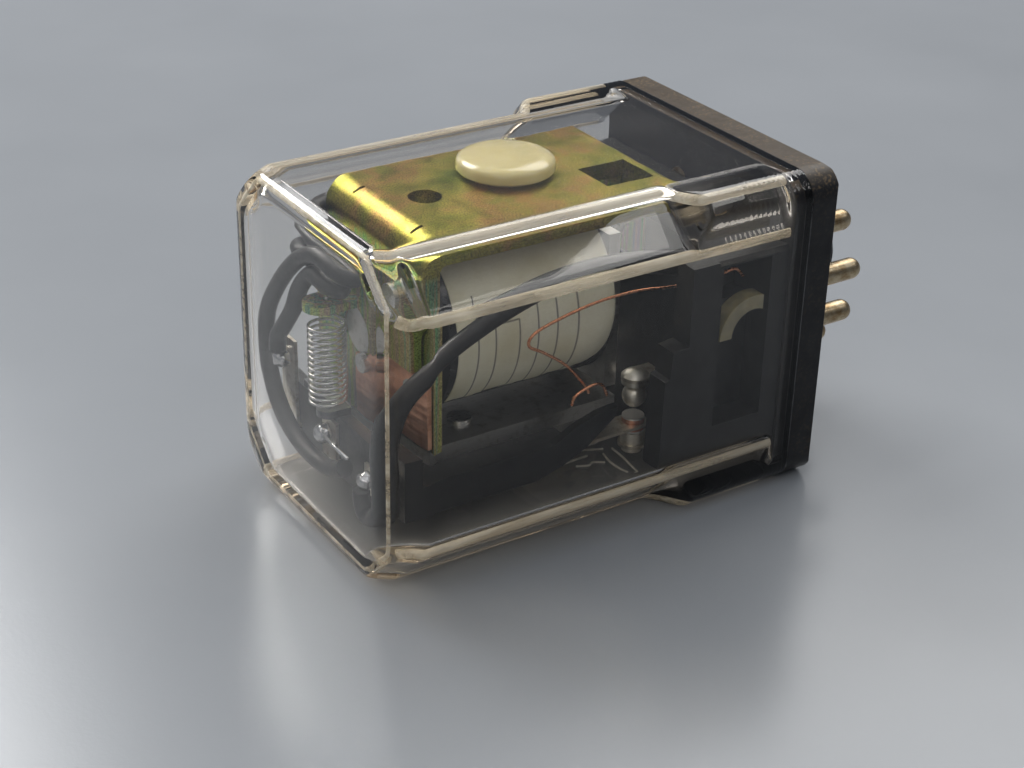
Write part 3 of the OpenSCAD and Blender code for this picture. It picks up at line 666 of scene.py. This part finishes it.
# %% Sections of the cover
COVER_END, RIM_END = -50.8, -3.4
HALF = 17.5
WALL = 1.8
CHAMFER = 5.2
RIM_START, STEP_LENGTH = -15.5, 3.2
INNER_RIM_START, INNER_STEP_LENGTH = -4.7, 0.7
PLATE_CORNER = 3
FACET_LENGTH, FACET_DEPTH = 2.6, 1.3
UPRIGHT_ROUND, TOP_ROUND = 3.9, 1.3
EDGE_POWER = 90
MIDDLE_Z = 17.5
RIB_PITCH = 0.6
RIB_DEPTH = 0.06
RIBS_FROM = RIM_START + 4
# The radii of the inner skin are smaller by these shares of its inset.
CORNER_LOSS, UPRIGHT_LOSS, TOP_LOSS = 0.6, 0.33, 0.4
FLAT_ANGLE, FLAT_TURN, CORNER_TURN = 31, 3.1, 0.5
ROUND_STEPS, LONG_STEPS, RIM_SPACING = 16, 12, 0.4
END_SHARES = (0.05, 0.2, 0.4, 0.6, 0.8, 0.95)
PAST_ROUND, BEFORE_STEP, BEFORE_RIM = 1, 0.2, 0.02
LEAST_FACING = 0.001

# Angles round a section: close together at the corner planes, wide apart on the flats.
flat = np.arange(-FLAT_ANGLE, FLAT_ANGLE, FLAT_TURN)
quarter = np.concatenate([flat, np.arange(FLAT_ANGLE, 90 - FLAT_ANGLE, CORNER_TURN)])
TURNS = np.radians(np.concatenate([quarter + 90 * k for k in range(4)]))


def corner_distance(x, inset):
    """From the section's middle to a corner plane at this x, for the skin at this inset."""
    leg = CHAMFER - inset * (2 - math.sqrt(2))
    low = (HALF - inset) * math.sqrt(2) - leg / math.sqrt(2)
    plate_corner = PLATE_CORNER - inset * CORNER_LOSS
    high = (HALF - inset) * math.sqrt(2) - plate_corner * (math.sqrt(2) - 1)
    start, length = (INNER_RIM_START, INNER_STEP_LENGTH) if inset else (RIM_START, STEP_LENGTH)
    along = min(max((x - start + length) / length, 0), 1)
    rise = along * along * (3 - 2 * along)
    ribbed = inset == 0 and x > RIBS_FROM
    groove = RIB_DEPTH * (0.5 - 0.5 * math.cos(2 * math.pi * x / RIB_PITCH)) if ribbed else 0
    from_end = max(x - COVER_END - inset, 0)
    facet = FACET_DEPTH * max(1 - from_end / FACET_LENGTH, 0)
    return low + (high - low) * rise - groove - facet


def quarter_round(radius, from_end):
    """How far a rounded edge of this radius draws a side in, at this distance from the end."""
    left = max(radius - from_end, 0)
    return radius - math.sqrt(radius ** 2 - left ** 2)


def upright_round(inset):
    """Radius of the upright edges at the closed end, for the skin at this inset."""
    return UPRIGHT_ROUND - inset * UPRIGHT_LOSS


def reaches(x, inset):
    """From the section's middle to a side, a corner plane, the top and a corner plane."""
    from_end = max(x - COVER_END - inset, 0)
    side = HALF - inset - quarter_round(upright_round(inset), from_end)
    top = HALF - inset - quarter_round(TOP_ROUND - inset * TOP_LOSS, from_end)
    corner = corner_distance(x, inset)
    return side, corner, top, corner


def section(x, inset, share=1.0):
    """Points of one ring; a share under 1 shrinks it, for the flat closed end."""
    reach = reaches(x, inset)
    total = np.zeros(len(TURNS))
    for k in range(8):
        facing = np.cos(TURNS - k * math.pi / 4)
        total += (np.maximum(facing, LEAST_FACING) / reach[k % 4]) ** EDGE_POWER
    radius = share * total ** (-1 / EDGE_POWER)
    return [at(x, r * math.cos(a), MIDDLE_Z + r * math.sin(a)) for r, a in zip(radius, TURNS)]


def skin(inset):
    """Rings of one skin, from the middle of the closed end to the open rim."""
    end_x = COVER_END + inset
    rings = [section(end_x, inset, share) for share in END_SHARES]
    round_x = upright_round(inset)
    for i in range(ROUND_STEPS + 1):
        drawn = 1 - math.cos(math.pi / 2 * i / ROUND_STEPS)
        rings.append(section(end_x + round_x * drawn, inset))
    spacing = RIB_PITCH / 4 if inset == 0 else RIM_SPACING
    step_x = RIM_START - STEP_LENGTH
    stops = list(np.linspace(end_x + round_x + PAST_ROUND, step_x - BEFORE_STEP, LONG_STEPS))
    stops += list(np.arange(step_x, RIM_END - BEFORE_RIM, spacing)) + [RIM_END]
    return rings + [section(x, inset) for x in stops]


# %% Make the cover
RIM_MARGIN = 0.001
outer, inner = skin(0), skin(WALL)
rings = outer + inner[::-1]
cover_mesh = bmesh.new()
rows = [[cover_mesh.verts.new(p) for p in ring] for ring in rings]
join_rings(cover_mesh, rows)
for ring in (rows[0], rows[-1]):
    middle = cover_mesh.verts.new(Vector((ring[0].co.x, 0, MIDDLE_Z * MM)))
    for j in range(len(ring)):
        cover_mesh.faces.new((middle, ring[j - 1], ring[j]))
bmesh.ops.recalc_face_normals(cover_mesh, faces=cover_mesh.faces)
shell = object_of(cover_mesh, "clear_shell")
for polygon in shell.data.polygons:
    from_rim = abs(polygon.center.x / MM - PLATE_FACE_X - RIM_END)
    polygon.use_smooth = from_rim > RIM_MARGIN
shell.data.materials.append(clear)
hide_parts("cover")
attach(shell, "frame")
print("cover:", len(rings), "rings,", len(shell.data.polygons), "faces")

# %% [markdown]
# ## Light gathered in the cover's edges
#
# A thick clear moulding gathers light and lets it out at its edges, which look like cream
# threads. Tracing this inside the walls takes far too many bounces, so that light is painted
# on: cream threads, one along each of the chamfers' eight edges and one round the closed end,
# all inside the wall. They are half clear, and more so in some places than in others.

# %% Finish: gathered light
gathered, tree, shader, place = finish("cover_edge_light", Roughness=0.4, Specular_IOR_Level=0.3)
along = noise_at(millimetres(tree, (0.12, 1, 1)), 0.9, 3, 0.55)
brighter = spread(along, 0.35, 0.65, 0, 1)
# Painted light: the cream colour and its brighter streaks stand for light leaving the cover's edges.
put(shader, "Base Color", mixed(brighter, (0.74, 0.63, 0.44), (0.90, 0.84, 0.70)))
put(shader, "Alpha", spread(along, 0.32, 0.68, 0.2, 0.55))
put(shader, "Normal", relief(noise_at(place, 3, 3), 0.00003, 0.4))

# %% [markdown]
# ## Tubes along a route
#
# Leads, coil wires, the spring, the threads and the strokes are all one thing: a round
# section carried along a line. A Geometry Nodes tree does it, with the radius and the number
# of sides as inputs. Most routes are a few points, joined by a smooth curve through them.


# %% Geometry Nodes tree: tube on a route
def tube_tree():
    """Turns a chain of edges into a closed tube with flat ends."""
    made = bpy.data.node_groups.new("tube_on_route", "GeometryNodeTree")
    face = made.interface
    face.new_socket("Route", in_out="INPUT", socket_type="NodeSocketGeometry")
    face.new_socket("Radius", in_out="INPUT", socket_type="NodeSocketFloat").default_value = 0.001
    face.new_socket("Sides", in_out="INPUT", socket_type="NodeSocketInt").default_value = 16
    face.new_socket("Finish", in_out="INPUT", socket_type="NodeSocketMaterial")
    face.new_socket("Tube", in_out="OUTPUT", socket_type="NodeSocketGeometry")
    start = add(made, "NodeGroupInput")
    end = add(made, "NodeGroupOutput")
    to_curve = add(made, "GeometryNodeMeshToCurve")
    circle = add(made, "GeometryNodeCurvePrimitiveCircle")
    sweep = add(made, "GeometryNodeCurveToMesh")
    sweep.inputs["Fill Caps"].default_value = True
    realize = add(made, "GeometryNodeRealizeInstances")
    coat = add(made, "GeometryNodeSetMaterial")
    for source, out_name, target, in_name in (
        (start, "Route", to_curve, "Mesh"),
        (start, "Radius", circle, "Radius"),
        (start, "Sides", circle, "Resolution"),
        (to_curve, "Curve", sweep, "Curve"),
        (circle, "Curve", sweep, "Profile Curve"),
        (sweep, "Mesh", realize, "Geometry"),
        (realize, "Geometry", coat, "Geometry"),
        (start, "Finish", coat, "Material"),
        (coat, "Geometry", end, "Tube"),
    ):
        link(source.outputs[out_name], target.inputs[in_name])
    return made


route_tube = tube_tree()


# %% Helpers for routes and plain meshes
SAME_POINT = 1e-7


def smooth_route(points, steps):
    """A Catmull-Rom curve through all the points."""
    points = [Vector(p) for p in points]
    last = len(points) - 1
    made = []
    for i in range(last):
        a, b, c, d = points[max(i - 1, 0)], points[i], points[i + 1], points[min(i + 2, last)]
        for s in range(steps):
            t = s / steps
            made.append(b + (c - a) * t / 2 + (2 * a - 5 * b + 4 * c - d) * t * t / 2
                        + (3 * b - a - 3 * c + d) * t ** 3 / 2)
    return made + [points[last]]


def keep_as_mesh(source, name):
    """The evaluated object as a new plain mesh object; the source is removed."""
    bpy.context.view_layer.update()
    evaluated = source.evaluated_get(bpy.context.evaluated_depsgraph_get())
    mesh = bpy.data.meshes.new_from_object(evaluated)
    bpy.data.objects.remove(source)
    mesh.name = name
    return new_object(name, mesh)


def face_outwards(mesh):
    """Turns the normals of a closed mesh outwards and makes its faces smooth."""
    solid = bmesh.new()
    solid.from_mesh(mesh)
    bmesh.ops.remove_doubles(solid, verts=solid.verts, dist=SAME_POINT)
    bmesh.ops.recalc_face_normals(solid, faces=solid.faces)
    solid.to_mesh(mesh)
    solid.free()
    for polygon in mesh.polygons:
        polygon.use_smooth = True


def tube(name, route, radius, sides, material):
    """A tube along a list of points in metres."""
    mesh = bpy.data.meshes.new(name + "_route")
    mesh.from_pydata([tuple(p) for p in route], [(i, i + 1) for i in range(len(route) - 1)], [])
    carrier = new_object(name + "_route", mesh)
    modifier = carrier.modifiers.new("tube", "NODES")
    modifier.node_group = route_tube
    sockets = {s.name: s.identifier for s in route_tube.interface.items_tree if s.in_out == "INPUT"}
    modifier[sockets["Radius"]] = radius
    modifier[sockets["Sides"]] = sides
    modifier[sockets["Finish"]] = material
    made = keep_as_mesh(carrier, name)
    face_outwards(made.data)
    length = sum((b - a).length for a, b in zip(route, route[1:]))
    print(name, "tube of", len(route), "rings,", round(length * 1000, 1), "mm")
    return made


# %% Make the threads of light
THREAD_DEPTH = 0.8
THREAD_RADIUS = 0.5
END_THREAD_RADIUS = 0.2
THREAD_START, THREAD_BEND, THREAD_STOP = 1.5, 5, 2.1
FINE_STEP, WIDE_STEP = 0.2, 0.4
THREAD_SIDES, END_THREAD_SIDES = 12, 10


def chamfer_edge(x, k):
    """Where the planes number k and k + 1 of a section meet, in the middle of the wall."""
    first, second = k * math.pi / 4, (k + 1) * math.pi / 4
    reach = list(reaches(x, THREAD_DEPTH))
    if k % 4 in (1, 2):
        reach[1] = reach[3] = corner_distance(x, 0) - THREAD_DEPTH
    near, far = reach[k % 4], reach[(k + 1) % 4]
    y = (near * math.sin(second) - far * math.sin(first)) / math.sin(second - first)
    z = (far * math.cos(first) - near * math.cos(second)) / math.sin(second - first)
    return at(x, y, MIDDLE_Z + z)


thread_stops = list(np.arange(COVER_END + THREAD_START, COVER_END + THREAD_BEND, FINE_STEP))
thread_stops += list(np.arange(COVER_END + THREAD_BEND, RIM_END - THREAD_STOP, WIDE_STEP))
for k in range(8):
    route = [chamfer_edge(x, k) for x in thread_stops]
    thread = tube("edge_thread_" + str(k + 1), route, THREAD_RADIUS * MM, THREAD_SIDES, gathered)
    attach(thread, "frame")
end_ring = [Vector(p) for p in section(COVER_END + THREAD_DEPTH + 0.3, THREAD_DEPTH)]
end_ring += end_ring[:1]
end_thread = tube("end_thread", end_ring, END_THREAD_RADIUS * MM, END_THREAD_SIDES, gathered)
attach(end_thread, "frame")

# %% [markdown]
# ## Strokes inside the cover
#
# A few thin pale strokes run on the inner face of the cover's underside, as if drawn with a
# paint pen. They are plain strokes and spell nothing.

# %% Finish: paint strokes
paint, tree, shader, place = finish("paint_strokes", Specular_IOR_Level=0.4)
worn = between(noise_at(place, 1.6, 4))
put(shader, "Base Color", mixed(worn, (0.80, 0.78, 0.70), (0.55, 0.53, 0.47)))
put(shader, "Roughness", spread(worn, 0, 1, 0.45, 0.65))
put(shader, "Normal", relief(noise_at(place, 4, 3), 0.00002, 0.4))

# %% Make the strokes
STROKE_Z = WALL + 0.1
STROKE_RADIUS = 0.12 * MM
STROKE_STEPS, STROKE_SIDES = 6, 8
strokes = [
    [(-25.6, -3.3), (-25.2, -3.9), (-20.2, -3.8)],
    [(-22, -2.0), (-20.6, -2.3), (-17.8, -3.4)],
    [(-20.3, -1.3), (-19.2, -0.6), (-17.6, -0.8), (-17.2, -1.6), (-18.6, -1.9), (-20.2, -1.5)],
    [(-18.4, -4.3), (-18.8, -6.4), (-18.5, -8.9)],
    [(-16.9, -3.8), (-17.1, -6.4), (-17.6, -9.4), (-18, -9.6)],
    [(-22.4, -5), (-21.2, -5.5), (-20.4, -5.2), (-19.3, -5.9)],
]
for number, corners in enumerate(strokes, start=1):
    route = smooth_route([at(x, y, STROKE_Z) for x, y in corners], STROKE_STEPS)
    stroke = tube("paint_stroke_" + str(number), route, STROKE_RADIUS, STROKE_SIDES, paint)
    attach(stroke, "frame")

# %% [markdown]
# ## Flexible leads
#
# Three soft leads carry the current to the moving contacts. They leave the block at the
# back, run beside the coil and curl round the front in wide loops, so that the armature
# can move them with almost no force. Only their lower ends move.

# %% Lead routes
LEAD_RADIUS = 0.88 * MM
LEAD_STEPS, LEAD_SIDES = 12, 20
near_lead = [
    (-11.6, -11, 25.6), (-15, -11, 25.8), (-20, -11, 27), (-26.4, -11.1, 27.5),
    (-32.2, -11.1, 26.9), (-37.8, -11.1, 25.1), (-43.2, -11.1, 22.4), (-46.6, -11.1, 19.2),
    (-47.8, -11.1, 15), (-47.7, -10.9, 10.9), (-47.3, -10.2, 7.4), (-47.15, -8.7, 5.3),
    (-47.15, -7, 4.8), (-47.15, -6.25, 5.9), (-47.15, -6.2, 7.15),
]
middle_lead = [
    (-11.6, 13.7, 25.7), (-14.5, 13.6, 26), (-18, 13.3, 27.9), (-23, 13.1, 29.2),
    (-30, 13.1, 29.3), (-36, 13.3, 28.6), (-41, 13.4, 27.9), (-43.3, 12, 27.9),
    (-44.2, 8.5, 27.7), (-44.1, 5, 27.4), (-43.9, 2, 27.1), (-44.6, -0.9, 27.2),
    (-46.1, -0.6, 27.8), (-46.6, 3.4, 28.4), (-46.8, 7.4, 26.2), (-47, 11.4, 21.8),
    (-47.2, 13.5, 17.8), (-47.2, 13.6, 13), (-47.2, 11.7, 9), (-47.2, 8.8, 6.9),
    (-47.2, 5.2, 6), (-47.2, 1.6, 6.1), (-47.2, -1.2, 7), (-47.2, -2.9, 8),
]
far_lead = [
    (-11.6, 13.7, 23.5), (-25, 13.8, 23.8), (-37, 14, 24.2), (-42.8, 13.2, 25),
    (-44.4, 11.2, 25.5), (-44.7, 8.4, 25.7), (-44.6, 5, 25.6), (-44.5, 2.4, 25.4),
    (-45.3, 0.9, 25.4), (-46.3, 1.9, 25.7), (-46.5, 4.4, 26), (-46.6, 6.9, 23.6),
    (-46.7, 8.3, 20.8), (-46.9, 9.9, 18.4), (-47.1, 11.2, 16.6), (-47.15, 11.4, 15.3),
    (-47.15, 11.4, 14.8),
]

# %% Make the leads
for number, points in enumerate((near_lead, middle_lead, far_lead), start=1):
    name = "flexible_lead_" + str(number)
    route = smooth_route([at(*p) for p in points], LEAD_STEPS)
    lead = tube("lead_" + str(number), route, LEAD_RADIUS, LEAD_SIDES, insulation)
    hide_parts(name)
    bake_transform(lead)

# %% [markdown]
# ## The return spring
#
# A thin wire spring pulls the front arm up to a lug. Its turns follow a helix, and the
# wire runs straight up and down the middle at both ends, with a small bend over the lug.

# %% Return spring
SPRING_X, SPRING_Y = -46, 2.6
SPRING_RADIUS = 1.82
SPRING_TURNS = 14
SPRING_LOW, SPRING_HIGH = 12.6, 21.4
TURN_STEPS = 28
WIRE_RADIUS = 0.16 * MM
BEND_STEPS, SPRING_SIDES = 5, 10
low_part = [(0, 0, 11.3), (0, 0, 11.9), (0.3, -0.15, 12.15), (1.3, -0.8, 12.45)]
high_part = [
    (1.2, 0.8, 21.75), (0.3, 0.2, 22.1), (0, 0, 22.5), (0, 0, 23.8),
    (0.15, 0, 24.05), (0.6, 0, 24.13), (1.2, 0, 24.13),
]


def off_axis(x, y, z):
    """A point in metres, from millimetres off the spring's axis."""
    return at(SPRING_X + x, SPRING_Y + y, z)


turns = []
for i in range(SPRING_TURNS * TURN_STEPS + 1):
    angle = 2 * math.pi * i / TURN_STEPS
    height = SPRING_LOW + (SPRING_HIGH - SPRING_LOW) * i / (SPRING_TURNS * TURN_STEPS)
    turns.append(off_axis(SPRING_RADIUS * math.cos(angle), SPRING_RADIUS * math.sin(angle), height))
route = smooth_route([off_axis(*p) for p in low_part], BEND_STEPS)[:-1] + turns
route += smooth_route([off_axis(*p) for p in high_part], BEND_STEPS)
spring = tube("return_spring_wire", route, WIRE_RADIUS, SPRING_SIDES, spring_steel)
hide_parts("return_spring")
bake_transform(spring)

# %% [markdown]
# ## Coil wires
#
# Two ends of the magnet wire, enamelled copper of a third of a millimetre, leave the coil
# by its label and wander to the pocket in the block. They only follow the frame.

# %% Coil wires
WIRE_STEPS, WIRE_SIDES = 8, 12
upper_wire = [
    (-8.4, -12.8, 24), (-9.6, -13, 25.1), (-10.8, -12.4, 24.6), (-12.6, -11.2, 23.6),
    (-15.3, -10, 23.2), (-19.5, -9.4, 23.4), (-23.9, -9, 23), (-28, -9, 22.3),
    (-30.9, -9, 21.4), (-31.5, -9, 20.2), (-29.7, -9, 19), (-27, -9, 16.9), (-24.7, -9, 14.1),
    (-24.2, -9.1, 13.1),
]
lower_wire = [
    (-26.4, -9.4, 12.4), (-26.2, -9.5, 13.3), (-25.3, -9.6, 13.9), (-23.9, -9.6, 14.2),
    (-22.8, -9.5, 13.8), (-22.1, -9.4, 12.4),
]
for number, points in enumerate((upper_wire, lower_wire), start=1):
    route = smooth_route([at(*p) for p in points], WIRE_STEPS)
    wire = tube("magnet_wire_" + str(number), route, WIRE_RADIUS, WIRE_SIDES, copper)
    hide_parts("coil_wire_" + str(number))
    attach(wire, "frame")

# %% [markdown]
# ## The coil label
#
# The paper wraps the coil's near side. It is a curved sheet, so it is laid out as a grid
# of points, along the coil and round it, and then given the paper's thickness. The lower
# edge is torn, and the corner near the plate is rounded.

# %% Label
COIL_Y, COIL_Z = 2.6, 19.7
LABEL_RADIUS = 8.98
LABEL_THICK = 0.11
LABEL_ENDS = (-37.9, -20.2)
STANDOFF, STANDOFF_FROM = 1.5, -27.5
LABEL_ALONG, LABEL_ROUND = 150, 110
TOP_ANGLE, TORN_ANGLE = math.radians(62), math.radians(226)
LABEL_CORNER = 3.2
TEARS = ((0.05, 0.35, 3.1), (0.028, 1.7, 7.7), (0.016, 5.1, 1.2))


def torn(x):
    """How far round the coil the paper reaches at this place along it, in radians."""
    ragged = sum(depth * noise.noise(Vector((x * pace, row, 0))) for depth, pace, row in TEARS)
    return TORN_ANGLE + ragged


label_mesh = bmesh.new()
grid = []
for i in range(LABEL_ALONG + 1):
    x = LABEL_ENDS[0] + (LABEL_ENDS[1] - LABEL_ENDS[0]) * i / LABEL_ALONG
    reach = torn(x) - quarter_round(LABEL_CORNER, LABEL_ENDS[1] - x) / LABEL_RADIUS
    free = max(0, (x - STANDOFF_FROM) / (LABEL_ENDS[1] - STANDOFF_FROM))
    standoff = STANDOFF * free * free * (3 - 2 * free)
    row = []
    for j in range(LABEL_ROUND + 1):
        angle = TOP_ANGLE + (reach - TOP_ANGLE) * j / LABEL_ROUND
        lifted = standoff * math.sin(math.pi * (j / LABEL_ROUND) ** 1.3)
        radius = LABEL_RADIUS + max(lifted, 0)
        y, z = COIL_Y + radius * math.cos(angle), COIL_Z + radius * math.sin(angle)
        row.append(label_mesh.verts.new(at(x, y, z)))
    grid.append(row)
for i in range(LABEL_ALONG):
    for j in range(LABEL_ROUND):
        label_mesh.faces.new((grid[i][j], grid[i + 1][j], grid[i + 1][j + 1], grid[i][j + 1]))
sheet = object_of(label_mesh, "coil_label_sheet")
thickness = sheet.modifiers.new("paper thickness", "SOLIDIFY")
thickness.thickness = LABEL_THICK * MM
thickness.offset = 1.0
label = keep_as_mesh(sheet, "coil_label_paper")
face_outwards(label.data)
label.data.materials.append(paper)
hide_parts("coil_label")
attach(label, "frame")
print("label faces:", len(label.data.polygons))

# %% [markdown]
# ## Solder at the tags
#
# Each lead ends in a bead of solder on its tag. A bead is a ball that sagged while it was
# liquid, so each one is a sphere, flattened towards the tag and made uneven with noise. The
# middle lead shows a few millimetres of bare tinned wire before its bead.

# %% Solder beads
BARE_RADIUS = 0.22 * MM
BEAD_BACK, BEAD_FRONT = -1.2, 0.56
bead_places = [(-46.62, -6.2, 8.05, 0.95), (-46.62, 2.6, 9.2, 1.05), (-46.62, 11.4, 13.8, 1.1)]
beads = bmesh.new()
for x, y, z, size in bead_places:
    ball = bmesh.ops.create_icosphere(beads, subdivisions=4, radius=1.0)
    for vertex in ball["verts"]:
        lump = 1 + 0.16 * noise.noise(vertex.co * 1.7 + Vector((x, y, z)))
        place = vertex.co * size * lump
        vertex.co = at(x + max(BEAD_BACK, min(place.x, BEAD_FRONT)), y + place.y, z + place.z)
bare_from, bare_to = at(-47, -3.2, 9.12), at(-47, 2.2, 9.31)
turn = (bare_to - bare_from).to_track_quat("Z", "Y").to_matrix().to_4x4()
bmesh.ops.create_cone(
    beads, cap_ends=True, segments=16, radius1=BARE_RADIUS, radius2=BARE_RADIUS,
    depth=(bare_to - bare_from).length, matrix=Matrix.Translation((bare_from + bare_to) / 2) @ turn,
)
solder_beads = object_of(beads, "solder_beads")
face_outwards(solder_beads.data)
solder_beads.data.materials.append(solder)
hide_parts("solder_joints")
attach(solder_beads, "armature")

# %% [markdown]
# ## The stud's soft head
#
# The stud is cast nylon: a low dome with a rounded rim, on a narrower neck. A blob and a
# trail of drops are left where it broke off the runner. The dome is turned from a profile
# and the drops are small balls sunk into it.

# %% Stud
STUD_X, STUD_Y = -25.3, 4.7
YOKE_TOP, YOKE_UNDER = 31, 29.2
HEAD_RADIUS, NECK_RADIUS, STEM_RADIUS = 5.1, 4.3, 2
RIM_LOW, RIM_HIGH, CROWN_TOP = 31.35, 31.8, 33.05
RIM_ROUND, DOME_INSET = 0.2, 0.02
NECK_CUT, NECK_FLARE = 0.12, 0.1
POINT_RADIUS = 0.001
RIM_STEPS, DOME_STEPS, HEAD_STEPS = 6, 12, 96
TRAIL_DROPS = 11


def head_profile():
    """Radius and height of the stud, from its foot to the top of the dome."""
    foot = YOKE_UNDER + 0.06
    points = [
        (POINT_RADIUS, foot), (STEM_RADIUS, foot), (STEM_RADIUS, YOKE_TOP), (NECK_RADIUS, YOKE_TOP),
        (NECK_RADIUS, RIM_LOW - NECK_CUT), (NECK_RADIUS + NECK_FLARE, RIM_LOW),
    ]
    for i in range(RIM_STEPS + 1):
        angle = math.pi / 2 * (i / RIM_STEPS - 1)
        radius = HEAD_RADIUS - RIM_ROUND + RIM_ROUND * math.cos(angle)
        points.append((radius, RIM_LOW + RIM_ROUND + RIM_ROUND * math.sin(angle)))
    for i in range(DOME_STEPS + 1):
        share = i / DOME_STEPS
        radius = (HEAD_RADIUS - DOME_INSET) * math.cos(math.pi / 2 * share ** 1.4)
        height = RIM_HIGH + (CROWN_TOP - RIM_HIGH) * math.sin(math.pi / 2 * share ** 0.8)
        points.append((max(radius, POINT_RADIUS), height))
    return points


stud_mesh = bmesh.new()
stud_rows = []
angles = [2 * math.pi * i / HEAD_STEPS for i in range(HEAD_STEPS)]
for radius, height in head_profile():
    ring = [at(STUD_X + radius * math.cos(a), STUD_Y + radius * math.sin(a), height) for a in angles]
    stud_rows.append([stud_mesh.verts.new(p) for p in ring])
join_rings(stud_mesh, stud_rows)
stud_mesh.faces.new(stud_rows[0])
stud_mesh.faces.new(stud_rows[-1])
drops = [(2.5, 3.2, 32.45, 0.55), (2.2, 3.4, 32.75, 0.3), (2.8, 3.0, 32.8, 0.24)]
for i in range(TRAIL_DROPS):
    height = 32.5 + 0.03 * min(i, TRAIL_DROPS - 1 - i)
    drops.append((2.4 - 0.085 * i, 2.6 - 0.4 * i, height, 0.17 + 0.05 * (i % 3)))
for x, y, z, size in drops:
    centre = at(STUD_X + x, STUD_Y + y, z)
    place = Matrix.Translation(centre)
    bmesh.ops.create_icosphere(stud_mesh, subdivisions=3, radius=size * MM, matrix=place)
stud_dome = object_of(stud_mesh, "stud_dome")
face_outwards(stud_dome.data)
stud_dome.data.materials.append(ivory)
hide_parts("stud_button")
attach(stud_dome, "frame")
print("stud faces:", len(stud_dome.data.polygons))

bpy.context.view_layer.update()
bpy.context.scene.view_settings.view_transform = "Standard"
